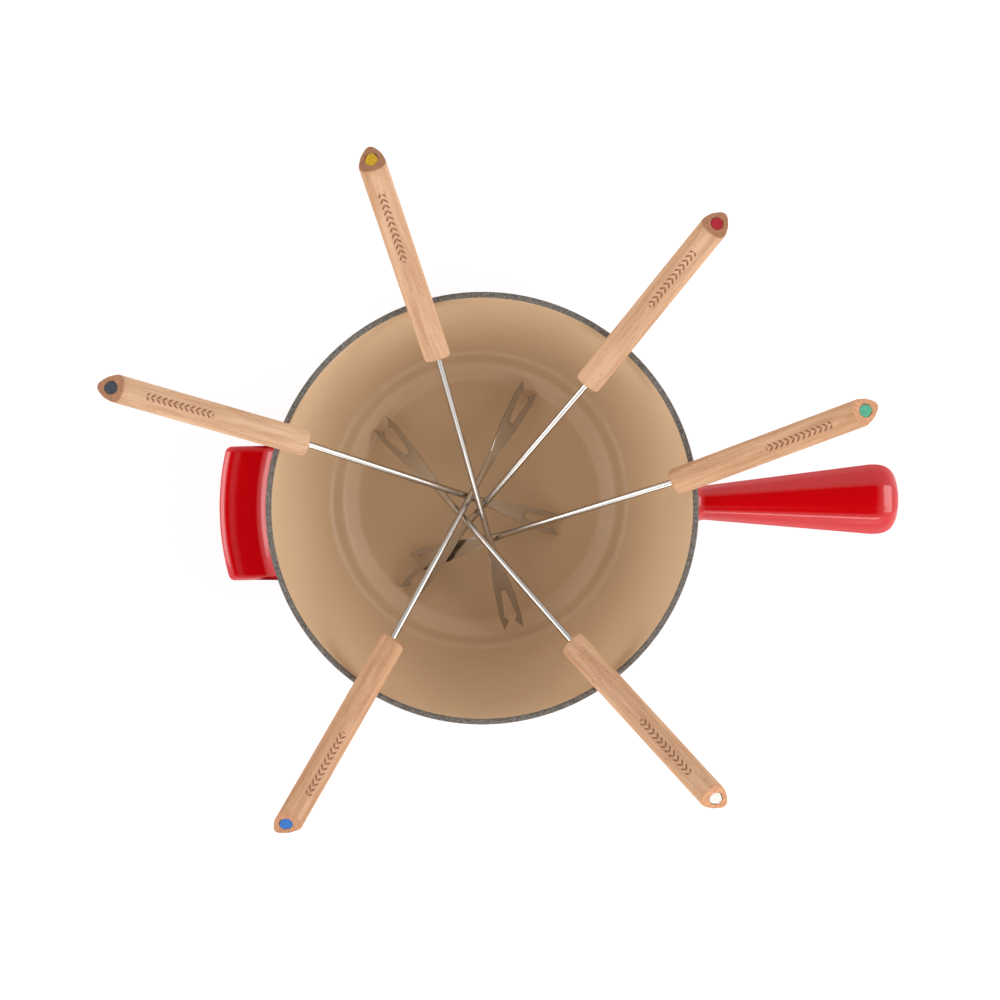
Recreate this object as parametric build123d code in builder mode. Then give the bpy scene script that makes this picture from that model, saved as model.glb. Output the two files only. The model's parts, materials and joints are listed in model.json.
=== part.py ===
from build123d import *
import os
from math import asin, atan2, cos, hypot, radians, sin, sqrt

# A fondue set: an enamelled iron pot on a stand, a spirit burner under it and six forks in it.
# Millimetres. The origin is the centre of the stand's footprint, on the table. Z is the pot's axis,
# the long handle points along +X and the burner comes out towards -Y.

# ---- pot ----
pot_depth = 92.0            # rim to the flat floor
rim_inner_radius = 100.0
rim_width = 2.8             # the iron's thickness at the rim
rim_rounding = 1.0
pot_floor_radius = 61.5     # the flat floor, up to the step
pot_step_run = 7.5
pot_step_height = 4.5
pot_ledge_width = 6.5       # from the step to the foot of the wall
wall_bulge = 5.0            # how far the wall's arc stands out from its chord
wall_foot_thickness = 4.5
floor_thickness = 5.0
foot_radius = 66.0          # the foot that drops into the stand's ring
foot_height = 4.0
inner_foot_rounding = 7.0
outer_foot_rounding = 6.0
step_rounding = 1.5

# ---- long handle, six-sided with a flat top that widens outwards ----
handle_length = 97.2        # from the rim's outside to the handle's end
handle_root_run = 4.7       # from the rim's outside to the straight part
handle_end_run = 14.0       # the rounded end
handle_root_half_width = 8.9
handle_end_half_width = 17.7
handle_root_half_height = 7.0
handle_end_half_height = 10.0
handle_facet_share = 0.46   # top facet against full width
handle_corner_share = 0.28  # corner rounding against half height
handle_end_shares = (0.0, 0.3, 0.55, 0.75, 0.9, 0.975)  # how far along the rounded end
handle_end_blunt = 0.4      # the lower, the blunter the end seen from above
handle_drop = 13.0          # handle's axis below the rim at the root
handle_rise = 3.0           # how much higher its far end is
handle_flare = 2.6          # how far the root flares out where it meets the wall

# ---- helper tab ----
tab_width = 22.7            # from the rim's outside to the tab's edge
tab_half_width = 32.0
tab_thickness = 9.0
tab_drop = 9.0              # the tab's rolled edge below the rim
tab_dish = 1.6
tab_cove = 5.0
tab_roll = 6.5              # width of the rolled edge
tab_nose = 1.0              # its outer corner, rounded over
tab_undercut = 2.0          # how far the underside stays back from the edge

# ---- forks ----
fork_length = 272.0
fork_handle_length = 110.0
fork_handle_corner = 7.25   # three-sided stick: its axis to a corner before rounding
fork_handle_flat = 5.6      # its axis to the middle of a bowed side
fork_handle_rounding = 2.2
fork_handle_ridge = 7.0     # its axis to a rounded corner
fork_handle_under = 6.6     # shaft's axis to the ridge underneath
fork_handle_front_rounding = 2.1
fork_cut_angle = 62.0       # the back cut, measured from the handle's axis
fork_plug_radius = 3.0
fork_plug_length = 16.0
fork_shaft_radius = 1.6
fork_tang_length = 34.0
bore_play = 0.05            # glue line round a tang, a rod or a plug in its bore
blade_thickness = 1.2
blade_half_width = 5.5
blade_root_half_width = 4.6
blade_tip_half_gap = 4.8    # half the distance between the two points
blade_length = 44.0
blade_blend = 16.0          # round shaft to flat blade
blade_neck_half_width = 2.3
blade_edge_share = 0.45     # edge rounding against thickness
blade_shoulder = 2.0        # from the slot's end to the blade's shoulder
slot_length = 24.0
slot_root_half_width = 1.45
slot_mouth_half_width = 3.2
barb_depth = 5.4
barb_reach = 1.5
barb_hook = 2.0             # how far the barb's point hangs below its notch
fork_rest_gap = 0.3         # handle above the rim's inner edge

# Each fork: colour, where its points stand (x, y, height above the pot's floor in shaft radii), the
# bearing at which its handle crosses the rim, how far its blade is rolled about its own shaft, and
# how far its handle leans sideways from the shaft, because the tang's bore is never drilled quite
# true. The shafts pass over and under each other near the middle, so their heights follow the
# shaft's thickness, and each can be drawn out past the rest.
forks = [
    ("yellow", (16.1, -64.9, 5.875), 104.9, -8.1, 3.1),
    ("red", (-37.3, -46.7, 1.1875), 49.0, -3.9, 1.6),
    ("green", (-33.6, -30.9, 0.75), 7.9, 0.0, 3.5),
    ("white", (-48.9, 39.9, 1.75), -55.4, 7.5, 1.3),
    ("blue", (26.8, 56.6, 1.8125), -124.7, -18.7, -1.4),
    ("black", (40.9, -14.4, 0.75), 158.4, 10.7, 2.1),
]

# ---- stand ----
stand_height = 100.0        # top of the ring
ring_thickness = 4.0
ring_play = 0.6             # between the pot's foot and the ring
ring_width = 15.0
ring_rounding = 0.8
leg_bearings = (90.0, 210.0, 330.0)
leg_width = 16.0
leg_thickness = 3.0
leg_bend_radius = 5.0
leg_spread = 92.0           # upright part of the leg, from the axis, at its foot
leg_top_spread = 86.0
leg_foot_tab = 58.0         # inner end of the lower tab, from the axis
foot_ring_height = 4.0      # soft ring under the legs
foot_ring_radius = 84.0     # its middle
foot_ring_width = 13.0
foot_stem_radius = 2.0      # plugs that hold it in the legs
foot_ring_rounding = 1.2
tray_radius = 70.0
tray_thickness = 1.5
tray_stop_height = 9.0
tray_stop_width = 26.0
tray_stop_gap = 0.6         # between the cup and the stop behind it
tray_rivet_radius = 64.0
rivet_radius = 1.75
rivet_head_radius = 3.2
rivet_head_height = 1.3
rivet_crown_share = 0.6     # the head's flat crown against its radius
rivet_play = 0.05
head_rounding = 0.6
corner_rounding = 3.0       # corners of small plates

# ---- burner ----
cup_radius = 36.0
cup_wall = 1.0
cup_height = 34.0
cup_corner = 5.0
wadding_height = 24.0
gauze_thickness = 1.0
gauze_hole_radius = 2.0
gauze_pitch = 6.5
cover_play = 0.3
cover_thickness = 1.0
cover_skirt = 8.0
collar_radius = 15.0        # inside of the collar
collar_height = 5.0
collar_bead = 1.6
air_holes = 8
air_hole_radius = 4.0
air_hole_circle = 24.5
regulator_play = 0.35
regulator_thickness = 1.0
regulator_outer_radius = 31.0
regulator_rod_bearing = 236.25
regulator_rod_radius = 1.25
regulator_rod_reach = 60.0
regulator_rod_inset = 2.0   # from the ring's inner edge to the rod's start
regulator_knob_radius = 5.5
regulator_knob_length = 16.0
regulator_knob_shares = ((0.0, 0.6), (0.6, 1.0), (1.0, 0.7))  # along it, against its radius
knob_socket = 8.0
knob_rounding = 1.5
snuffer_radius = 18.5
snuffer_thickness = 1.4
snuffer_gap = 0.3
snuffer_pin_circle = 34.2
snuffer_arm_half_width = 4.0
snuffer_pin_radius = 1.8
snuffer_pin_play = 0.1
snuffer_pin_head_radius = 2.9
snuffer_pin_head_height = 1.2
snuffer_knob_radius = 6.0
snuffer_knob_height = 11.0
snuffer_neck_radius = 2.7
snuffer_flange_radius = 3.7
snuffer_knob_waist = 3.85   # heights on the knob: its waist, and its thickest band
snuffer_knob_band = (6.05, 8.8)
cover_edge_rounding = 0.8
grip_height = 14.0          # above the tray
grip_start = 52.0
grip_end = 96.0
grip_radius = 7.5
grip_neck_radius = 5.0
grip_rod_radius = 2.5
grip_plate_width = 24.0
grip_plate_height = 16.0
grip_plate_thickness = 1.5
grip_rivet_spacing = 16.0
grip_rod_cover = 10.0       # from the rod's end to the grip's end
rivet_bore_length = 12.0    # drill length for the bracket's rivets
rivet_head_taper = 25.0

# ---- heights that follow ----
shoulder_z = stand_height
pot_bottom_z = shoulder_z - foot_height
pot_floor_z = pot_bottom_z + floor_thickness
ledge_z = pot_floor_z + pot_step_height
rim_z = pot_floor_z + pot_depth
wall_foot_radius = pot_floor_radius + pot_step_run + pot_ledge_width
rim_outer_radius = rim_inner_radius + rim_width
handle_root_x = rim_outer_radius + handle_root_run
handle_reach = rim_outer_radius + handle_length
tab_reach = rim_outer_radius + tab_width
tray_z = foot_ring_height + leg_thickness
cup_z = tray_z + tray_thickness
cup_top_z = cup_z + cup_height
cover_z = cup_top_z
cover_top_z = cover_z + cover_thickness
collar_top_z = cover_top_z + collar_height
ring_inner_radius = foot_radius + ring_play
ring_outer_radius = ring_inner_radius + ring_width
ring_rivet_radius = ring_inner_radius + ring_width / 2
rivet_hole_radius = rivet_radius + rivet_play
countersink_depth = rivet_head_radius - rivet_hole_radius

os.makedirs("parts", exist_ok=True)


def keep(part, name):
    """Label a finished piece and write it."""
    part.label = name
    export_step(part, f"parts/{name}.step")


def nearest(sketch, x, y):
    """The sketch's corner nearest to a point of its own plane."""
    return sketch.vertices().sort_by_distance((x, y, 0))[0]


def arc_middle(start, end, bulge):
    """The middle of an arc from start to end that stands out by bulge, to the right of the way."""
    run, rise = end[0] - start[0], end[1] - start[1]
    length = hypot(run, rise)
    middle_x, middle_y = (start[0] + end[0]) / 2, (start[1] + end[1]) / 2
    return (middle_x + bulge * rise / length, middle_y - bulge * run / length)


def on_circle(radius, bearing, height=0.0):
    """A point at a bearing round the Z axis."""
    return (radius * cos(radians(bearing)), radius * sin(radians(bearing)), height)


def upright_plane(bearing, height=0.0):
    """The plane through the Z axis along a bearing: its X runs outwards, its Y up."""
    outward = Vector(*on_circle(1.0, bearing))
    return Plane(origin=(0, 0, height), x_dir=outward, z_dir=outward.cross(Vector(0, 0, 1)))


# ======== pot ========

inner_foot = (wall_foot_radius, ledge_z)
inner_rim = (rim_inner_radius, rim_z)
outer_foot = (wall_foot_radius + wall_foot_thickness, shoulder_z)
outer_rim = (rim_outer_radius, rim_z)


def handle_section(plane, half_width, half_height, facet):
    """A six-sided handle section with rounded corners, flat on top and below."""
    with BuildSketch(plane) as section:
        with BuildLine():
            Polyline(
                (-half_width, 0),
                (-facet, half_height),
                (facet, half_height),
                (half_width, 0),
                (facet, -half_height),
                (-facet, -half_height),
                close=True,
            )
        make_face()
        fillet(section.vertices(), handle_corner_share * half_height)
    return section.sketch


def handle_plane(x):
    """A section plane across the long handle, facing along it."""
    share = (x - handle_root_x) / (handle_reach - handle_root_x)
    height = rim_z - handle_drop + handle_rise * share
    return Plane(origin=(x, 0, height), x_dir=(0, 1, 0), z_dir=(1, 0, 0))


# helper tab: dished, with a rolled outer edge and a cove against the wall
tab_edge_z = rim_z - tab_drop
tab_floor_z = tab_edge_z - tab_dish
tab_under_z = tab_edge_z - tab_thickness
cove_foot = (rim_outer_radius + tab_cove, tab_floor_z)
cove_top = (rim_inner_radius, tab_floor_z + tab_cove)
with BuildPart() as helper_tab:
    with BuildSketch(Plane.XZ):
        with BuildLine():
            Polyline(
                (rim_inner_radius, tab_under_z),
                (tab_reach - tab_undercut, tab_under_z),
                (tab_reach, tab_edge_z - tab_thickness / 2),
                (tab_reach - tab_nose, tab_edge_z - tab_nose),
                (tab_reach - tab_roll / 2, tab_edge_z),
                (tab_reach - tab_roll, tab_floor_z),
                cove_foot,
            )
            RadiusArc(cove_foot, cove_top, -2 * tab_cove)
            Line(cove_top, (rim_inner_radius, tab_under_z))
        make_face()
    revolve(axis=Axis.Z)
    with Locations((-tab_reach, 0, tab_edge_z)):
        Box(tab_reach, 2 * tab_half_width, 4 * tab_thickness, mode=Mode.INTERSECT)

with BuildPart() as pot:
    with BuildSketch(Plane.XZ) as bowl_profile:
        with BuildLine():
            Polyline(
                (0, pot_floor_z),
                (pot_floor_radius, pot_floor_z),
                (pot_floor_radius + pot_step_run, ledge_z),
                inner_foot,
            )
            ThreePointArc(inner_foot, arc_middle(inner_foot, inner_rim, wall_bulge), inner_rim)
            Line(inner_rim, outer_rim)
            ThreePointArc(outer_rim, arc_middle(outer_rim, outer_foot, -wall_bulge), outer_foot)
            Polyline(
                outer_foot,
                (foot_radius, shoulder_z),
                (foot_radius, pot_bottom_z),
                (0, pot_bottom_z),
                (0, pot_floor_z),
            )
        make_face()
        rim_corners = [nearest(bowl_profile, *inner_rim), nearest(bowl_profile, *outer_rim)]
        fillet(rim_corners, rim_rounding)
        fillet(nearest(bowl_profile, *inner_foot), inner_foot_rounding)
        fillet(nearest(bowl_profile, *outer_foot), outer_foot_rounding)
        step_foot = nearest(bowl_profile, pot_floor_radius, pot_floor_z)
        step_top = nearest(bowl_profile, pot_floor_radius + pot_step_run, ledge_z)
        fillet([step_foot, step_top], step_rounding)
        fillet(nearest(bowl_profile, foot_radius, pot_bottom_z), step_rounding)
    revolve(axis=Axis.Z)

    # long handle: flared root, straight facets, rounded end
    straight_end_x = handle_reach - handle_end_run
    root_facet = handle_root_half_width * handle_facet_share
    end_facet = handle_end_half_width * handle_facet_share
    root_section = handle_section(
        handle_plane(handle_root_x), handle_root_half_width, handle_root_half_height, root_facet
    )
    flare_section = handle_section(
        handle_plane(rim_inner_radius + rim_width / 4),
        handle_root_half_width + handle_flare,
        handle_root_half_height + handle_flare,
        root_facet + handle_flare,
    )
    end_sections = []
    for share in handle_end_shares:
        plan_share = (1 - share**3) ** handle_end_blunt   # blunt seen from above
        side_share = sqrt(1 - share**2)                   # round seen from the side
        end_sections.append(
            handle_section(
                handle_plane(straight_end_x + share * handle_end_run),
                handle_end_half_width * plan_share,
                handle_end_half_height * side_share,
                end_facet * plan_share,
            )
        )
    loft([flare_section, root_section])
    loft([root_section, end_sections[0]])
    loft(end_sections)
    add(helper_tab.part)

keep(pot.part, "pot")


# ======== forks ========


fork_front = fork_length - fork_handle_length


class ForkPlace:
    """Where a fork, or its handle alone, lies: its points, its axis and its two side directions."""

    def __init__(self, tips, along, side):
        self.tips = tips
        self.along = along
        self.side = side
        self.upward = along.cross(side)

    def leaning(self, lean):
        """The same place turned about the upright through the handle's front."""
        along = self.along.rotate(Axis.Z, lean)
        front = self.tips + self.along * fork_front
        return ForkPlace(front - along * fork_front, along, self.side.rotate(Axis.Z, lean))

    def across(self, distance, above=0.0):
        """A plane square to the fork, at a distance from its points."""
        origin = self.tips + self.along * distance + self.upward * above
        return Plane(origin, x_dir=self.side, z_dir=self.along)

    def flat(self):
        """The blade's plane, with the fork's axis as its Y."""
        return Plane(self.tips, x_dir=self.side, z_dir=self.side.cross(self.along))

    def back_cut(self):
        """The oblique cut: its low edge is the far end of the fork."""
        tilt = radians(90 - fork_cut_angle)
        low_point = self.tips + self.along * fork_length - self.upward * fork_handle_under
        return Plane(low_point, x_dir=self.side, z_dir=self.along * cos(tilt) + self.upward * sin(tilt))


def resting_place(tips, rim_bearing, roll):
    """A fork that stands on its points and lies over the rim at a bearing."""
    points = Vector(tips[0], tips[1], pot_floor_z + tips[2] * fork_shaft_radius)
    contact = Vector(*on_circle(rim_inner_radius, rim_bearing, rim_z))
    run = hypot(contact.X - points.X, contact.Y - points.Y)
    rise = contact.Z - points.Z
    lift = fork_handle_under + fork_rest_gap
    slope = atan2(rise, run) + asin(lift / hypot(run, rise))
    level = Vector(contact.X - points.X, contact.Y - points.Y, 0).normalized()
    along = level * cos(slope) + Vector(0, 0, sin(slope))
    side = Vector(-level.Y, level.X, 0)
    turn = radians(roll)
    return ForkPlace(points, along, side * cos(turn) + along.cross(side) * sin(turn))


def edge_distance(edge, place):
    """How far an edge's middle lies from the handle's front face."""
    return (edge.center() - place.tips).dot(place.along) - fork_front


def fork_handle(place, lean):
    """Beech handle: three bowed sides, a rounded front, bored for the tang and for the plug."""
    stick = place.leaning(lean)
    corners = [on_circle(fork_handle_corner, bearing) for bearing in (-90, 30, 150)]
    sides = [on_circle(fork_handle_flat, bearing) for bearing in (-30, 90, 210)]
    with BuildPart() as handle:
        with BuildSketch(stick.across(fork_front, fork_handle_ridge - fork_handle_under)) as section:
            with BuildLine():
                for corner, side, following in zip(corners, sides, corners[1:] + corners[:1]):
                    ThreePointArc(corner, side, following)
            make_face()
            fillet(section.vertices(), fork_handle_rounding)
        extrude(amount=fork_handle_length)
        front_edges = handle.edges().filter_by(lambda e: abs(edge_distance(e, stick)) < bore_play)
        fillet(front_edges, fork_handle_front_rounding)
        split(bisect_by=stick.back_cut(), keep=Keep.BOTTOM)
        with BuildSketch(place.across(fork_front - blade_thickness)):
            Circle(fork_shaft_radius + bore_play)
        extrude(amount=fork_tang_length + blade_thickness, mode=Mode.SUBTRACT)
        with BuildSketch(stick.across(fork_length - fork_plug_length)):
            Circle(fork_plug_radius + bore_play)
        extrude(amount=fork_plug_length, mode=Mode.SUBTRACT)
    return handle.part


def fork_plug(place, lean):
    """Coloured dowel, cut flush with the handle's back."""
    stick = place.leaning(lean)
    with BuildPart() as plug:
        with BuildSketch(stick.across(fork_length - fork_plug_length)):
            Circle(fork_plug_radius)
        extrude(amount=fork_plug_length)
        split(bisect_by=stick.back_cut(), keep=Keep.BOTTOM)
    return plug.part


def fork_shaft(place):
    """Steel shaft, hammered flat at the front into two barbed prongs."""
    tang_end = fork_front + fork_tang_length - bore_play
    blend_end = blade_length + blade_blend
    with BuildPart() as shaft:
        with BuildSketch(place.across(blend_end)):
            Circle(fork_shaft_radius)
        extrude(amount=tang_end - blend_end)
        with BuildSketch(place.across(blade_length)):
            RectangleRounded(
                2 * blade_neck_half_width, blade_thickness, blade_edge_share * blade_thickness
            )
        with BuildSketch(place.across(blend_end)):
            Circle(fork_shaft_radius)
        loft()
        with BuildSketch(place.flat()) as blade:
            with BuildLine():
                Polyline(
                    (0, blade_length),
                    (blade_neck_half_width, blade_length),
                    (blade_root_half_width, slot_length + blade_shoulder),
                    (blade_half_width, barb_depth + barb_hook / 2),
                    (blade_tip_half_gap, 0),
                    (slot_mouth_half_width - barb_reach, barb_depth - barb_hook / 3),
                    (slot_mouth_half_width, barb_depth + barb_hook * 2 / 3),
                    (slot_root_half_width, slot_length - slot_root_half_width),
                )
                RadiusArc(
                    (slot_root_half_width, slot_length - slot_root_half_width),
                    (0, slot_length),
                    -slot_root_half_width,
                )
                Line((0, slot_length), (0, blade_length))
            make_face()
            mirror(about=Plane.YZ)
        extrude(amount=blade_thickness / 2, both=True)
    return shaft.part


for colour, tips, rim_bearing, roll, lean in forks:
    place = resting_place(tips, rim_bearing, roll)
    keep(fork_handle(place, lean), f"fork_handle_{colour}")
    keep(fork_shaft(place), f"fork_shaft_{colour}")
    keep(fork_plug(place, lean), f"fork_plug_{colour}")
    direction = ", ".join(f"{value:.6f}" for value in place.along)
    print(f"fork {colour}: points at {tuple(place.tips)}, axis {direction}")


# ======== stand ========

with BuildPart() as stand_top_ring:
    with BuildSketch(Plane.XY.offset(stand_height - ring_thickness)):
        Circle(ring_outer_radius)
        Circle(ring_inner_radius, mode=Mode.SUBTRACT)
    extrude(amount=ring_thickness)
    fillet(stand_top_ring.edges().filter_by(GeomType.CIRCLE), ring_rounding)
    with BuildSketch(Plane.XY.offset(stand_height)):
        with PolarLocations(ring_rivet_radius, len(leg_bearings), start_angle=leg_bearings[0]):
            Circle(rivet_head_radius)
    extrude(amount=-countersink_depth, taper=45, mode=Mode.SUBTRACT)
    with BuildSketch(Plane.XY.offset(stand_height - ring_thickness)):
        with PolarLocations(ring_rivet_radius, len(leg_bearings), start_angle=leg_bearings[0]):
            Circle(rivet_hole_radius)
    extrude(amount=ring_thickness, mode=Mode.SUBTRACT)
keep(stand_top_ring.part, "stand_top_ring")

ring_underside_z = stand_height - ring_thickness
leg_centre_top_z = ring_underside_z - leg_thickness / 2
leg_centre_foot_z = foot_ring_height + leg_thickness / 2


def stand_leg(bearing):
    """A flat strip bent into a C: a tab under the ring, a sloping upright, a tab under the tray."""
    with BuildPart() as leg:
        with BuildSketch(upright_plane(bearing)):
            with BuildLine() as middle:
                FilletPolyline(
                    (ring_inner_radius + 1, leg_centre_top_z),
                    (leg_top_spread, leg_centre_top_z),
                    (leg_spread, leg_centre_foot_z),
                    (leg_foot_tab, leg_centre_foot_z),
                    radius=leg_bend_radius,
                )
            trace(middle.line, line_width=leg_thickness)
        extrude(amount=leg_width / 2, both=True)
        tab_ends = leg.edges().filter_by(Axis.Z).filter_by(lambda e: e.length < 2 * leg_thickness)
        fillet(tab_ends, leg_width / 4)
        for radius, height, hole in (
            (ring_rivet_radius, leg_centre_top_z, rivet_hole_radius),
            (tray_rivet_radius, leg_centre_foot_z, rivet_hole_radius),
            (foot_ring_radius, leg_centre_foot_z, foot_stem_radius + rivet_play),
        ):
            with Locations(on_circle(radius, bearing, height)):
                Cylinder(hole, 2 * leg_thickness, mode=Mode.SUBTRACT)
    return leg.part


for number, bearing in enumerate(leg_bearings, start=1):
    keep(stand_leg(bearing), f"stand_leg_{number}")


def rivet_group(radius, bearings, low_z, high_z, countersunk):
    """Rivets through two plates: a domed head below, and a domed or a countersunk one on top."""
    with BuildPart() as rivets:
        for bearing in bearings:
            with BuildSketch(upright_plane(bearing)) as profile:
                with BuildLine():
                    top = high_z - rivet_play if countersunk else high_z + rivet_head_height
                    Polyline(
                        (radius, low_z - rivet_head_height),
                        (radius + rivet_head_radius * rivet_crown_share, low_z - rivet_head_height),
                        (radius + rivet_head_radius, low_z),
                        (radius + rivet_radius, low_z),
                    )
                    if countersunk:
                        Polyline(
                            (radius + rivet_radius, low_z),
                            (radius + rivet_radius, high_z - countersink_depth - rivet_play),
                            (radius + rivet_head_radius - 2 * rivet_play, top),
                            (radius, top),
                        )
                    else:
                        Polyline(
                            (radius + rivet_radius, low_z),
                            (radius + rivet_radius, high_z),
                            (radius + rivet_head_radius, high_z),
                            (radius + rivet_head_radius * rivet_crown_share, top),
                            (radius, top),
                        )
                    Line((radius, top), (radius, low_z - rivet_head_height))
                make_face()
            revolve(axis=Axis(on_circle(radius, bearing), (0, 0, 1)))
    return rivets.part


keep(
    rivet_group(
        ring_rivet_radius, leg_bearings, ring_underside_z - leg_thickness, stand_height, True
    ),
    "stand_ring_rivets",
)

with BuildPart() as stand_tray:
    with BuildSketch(Plane.XY.offset(tray_z)):
        Circle(tray_radius)
        with PolarLocations(tray_rivet_radius, len(leg_bearings), start_angle=leg_bearings[0]):
            Circle(rivet_hole_radius, mode=Mode.SUBTRACT)
    extrude(amount=tray_thickness)
    # a stop bent up behind the burner
    stop_y = cup_radius + tray_stop_gap + tray_thickness / 2
    with Locations((0, stop_y, tray_z + tray_stop_height / 2)):
        Box(tray_stop_width, tray_thickness, tray_stop_height)
    fillet(stand_tray.edges().filter_by(Axis.Y).group_by(Axis.Z)[-1], corner_rounding)
keep(stand_tray.part, "stand_tray")

keep(
    rivet_group(tray_rivet_radius, leg_bearings, foot_ring_height, cup_z, False),
    "stand_tray_rivets",
)

with BuildPart() as stand_foot_ring:
    with BuildSketch():
        Circle(foot_ring_radius + foot_ring_width / 2)
        Circle(foot_ring_radius - foot_ring_width / 2, mode=Mode.SUBTRACT)
    extrude(amount=foot_ring_height)
    fillet(stand_foot_ring.edges().filter_by(GeomType.CIRCLE), foot_ring_rounding)
    with BuildSketch(Plane.XY.offset(foot_ring_height)):
        with PolarLocations(foot_ring_radius, len(leg_bearings), start_angle=leg_bearings[0]):
            Circle(foot_stem_radius)
    extrude(amount=leg_thickness)
keep(stand_foot_ring.part, "stand_foot_ring")


# ======== burner ========

with BuildPart() as burner_cup:
    with BuildSketch(Plane.XZ) as cup_profile:
        with BuildLine():
            Polyline(
                (0, cup_z),
                (cup_radius, cup_z),
                (cup_radius, cup_top_z),
                (cup_radius - cup_wall, cup_top_z),
                (cup_radius - cup_wall, cup_z + cup_wall),
                (0, cup_z + cup_wall),
                close=True,
            )
        make_face()
        fillet(nearest(cup_profile, cup_radius, cup_z), cup_corner)
        fillet(nearest(cup_profile, cup_radius - cup_wall, cup_z + cup_wall), cup_corner - cup_wall)
    revolve(axis=Axis.Z)
    rivet_offsets = (-grip_rivet_spacing / 2, grip_rivet_spacing / 2)
    for offset_x in rivet_offsets:
        with Locations(Location((offset_x, -cup_radius, cup_z + grip_height), (90, 0, 0))):
            Cylinder(rivet_hole_radius, rivet_bore_length, mode=Mode.SUBTRACT)
keep(burner_cup.part, "burner_cup")

inner_cup_radius = cup_radius - cup_wall - cover_play
wadding_z = cup_z + cup_wall
with BuildPart() as burner_wadding:
    with BuildSketch(Plane.XY.offset(wadding_z)):
        Circle(inner_cup_radius - 1)
    extrude(amount=wadding_height)
    fillet(burner_wadding.edges().group_by(Axis.Z)[0], cup_corner - cup_wall)
keep(burner_wadding.part, "burner_wadding")

with BuildPart() as burner_gauze:
    with BuildSketch(Plane.XY.offset(wadding_z + wadding_height)):
        Circle(inner_cup_radius)
        with HexLocations(gauze_pitch / 2, 9, 9):
            Circle(gauze_hole_radius, mode=Mode.SUBTRACT)
    extrude(amount=gauze_thickness)
keep(burner_gauze.part, "burner_gauze")

collar_outer_radius = collar_radius + cover_thickness
skirt_inner_radius = cup_radius + cover_play
bead_z = cover_top_z + regulator_thickness + 2 * regulator_play
with BuildPart() as burner_cover:
    with BuildSketch(Plane.XZ) as cover_profile:
        with BuildLine():
            Polyline(
                (collar_radius, cover_z),
                (skirt_inner_radius, cover_z),
                (skirt_inner_radius, cover_z - cover_skirt),
                (skirt_inner_radius + cover_thickness, cover_z - cover_skirt),
                (skirt_inner_radius + cover_thickness, cover_top_z),
                (collar_outer_radius, cover_top_z),
                (collar_outer_radius, bead_z),
                (collar_outer_radius + collar_bead, bead_z),
                (collar_outer_radius + collar_bead, collar_top_z),
                (collar_radius, collar_top_z),
                close=True,
            )
        make_face()
        fillet(nearest(cover_profile, skirt_inner_radius + cover_thickness, cover_top_z), 0.8)
        fillet(nearest(cover_profile, collar_outer_radius + collar_bead, collar_top_z), 0.8)
    revolve(axis=Axis.Z)
    with BuildSketch(Plane.XY.offset(cover_z)):
        with PolarLocations(air_hole_circle, air_holes, start_angle=180 / air_holes):
            Circle(air_hole_radius)
        with Locations((0, snuffer_pin_circle)):
            Circle(snuffer_pin_radius)
    extrude(amount=cover_thickness, mode=Mode.SUBTRACT)
keep(burner_cover.part, "burner_cover")

with BuildPart() as burner_handle_bracket:
    # a plate curved to the cup, and a rod square to it
    with BuildSketch(Plane.XY.offset(cup_z + grip_height - grip_plate_height / 2)):
        Circle(cup_radius + grip_plate_thickness)
        Circle(cup_radius, mode=Mode.SUBTRACT)
        with Locations((0, -cup_radius)):
            Rectangle(grip_plate_width, cup_radius, mode=Mode.INTERSECT)
    extrude(amount=grip_plate_height)
    plate_corners = burner_handle_bracket.edges().filter_by(
        lambda e: e.length < 2 * grip_plate_thickness and abs(e.center().X) > grip_plate_width / 3
    )
    fillet(plate_corners, corner_rounding)
    for offset_x in rivet_offsets:
        with Locations(Location((offset_x, -cup_radius, cup_z + grip_height), (90, 0, 0))):
            Cylinder(rivet_hole_radius, rivet_bore_length, mode=Mode.SUBTRACT)
    rod_start = cup_radius + grip_plate_thickness / 2
    rod_length = grip_end - grip_rod_cover - rod_start
    with BuildSketch(Plane(origin=(0, -rod_start, cup_z + grip_height), z_dir=(0, -1, 0))):
        Circle(grip_rod_radius)
    extrude(amount=rod_length)
keep(burner_handle_bracket.part, "burner_handle_bracket")

with BuildPart() as burner_bracket_rivets:
    for offset_x in rivet_offsets:
        # the head seats where the curved plate stands out most under it
        seat_x = abs(offset_x) - rivet_head_radius
        seat_y = sqrt((cup_radius + grip_plate_thickness) ** 2 - seat_x**2)
        inside_y = sqrt((cup_radius - cup_wall) ** 2 - offset_x**2)
        head_plane = Plane(origin=(offset_x, -seat_y, cup_z + grip_height), z_dir=(0, -1, 0))
        with BuildSketch(head_plane):
            Circle(rivet_head_radius)
        extrude(amount=rivet_head_height, taper=rivet_head_taper)
        with BuildSketch(head_plane):
            Circle(rivet_radius)
        extrude(amount=inside_y - seat_y - rivet_head_height / 3)
keep(burner_bracket_rivets.part, "burner_bracket_rivets")

with BuildPart() as burner_grip:
    with BuildSketch(Plane(origin=(0, 0, cup_z + grip_height), x_dir=(0, -1, 0), z_dir=(1, 0, 0))):
        with BuildLine():
            Polyline((grip_end, 0), (grip_start, 0), (grip_start, grip_neck_radius))
            ThreePointArc(
                (grip_start, grip_neck_radius),
                ((grip_start + grip_end) / 2, grip_radius),
                (grip_end - grip_neck_radius, grip_neck_radius),
            )
            RadiusArc((grip_end - grip_neck_radius, grip_neck_radius), (grip_end, 0), grip_neck_radius)
        make_face()
    revolve(axis=Axis((0, 0, cup_z + grip_height), (0, -1, 0)))
    with BuildSketch(Plane(origin=(0, -grip_start, cup_z + grip_height), z_dir=(0, -1, 0))):
        Circle(grip_rod_radius + bore_play)
    extrude(amount=grip_end - grip_rod_cover + bore_play - grip_start, mode=Mode.SUBTRACT)
keep(burner_grip.part, "burner_grip")

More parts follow.
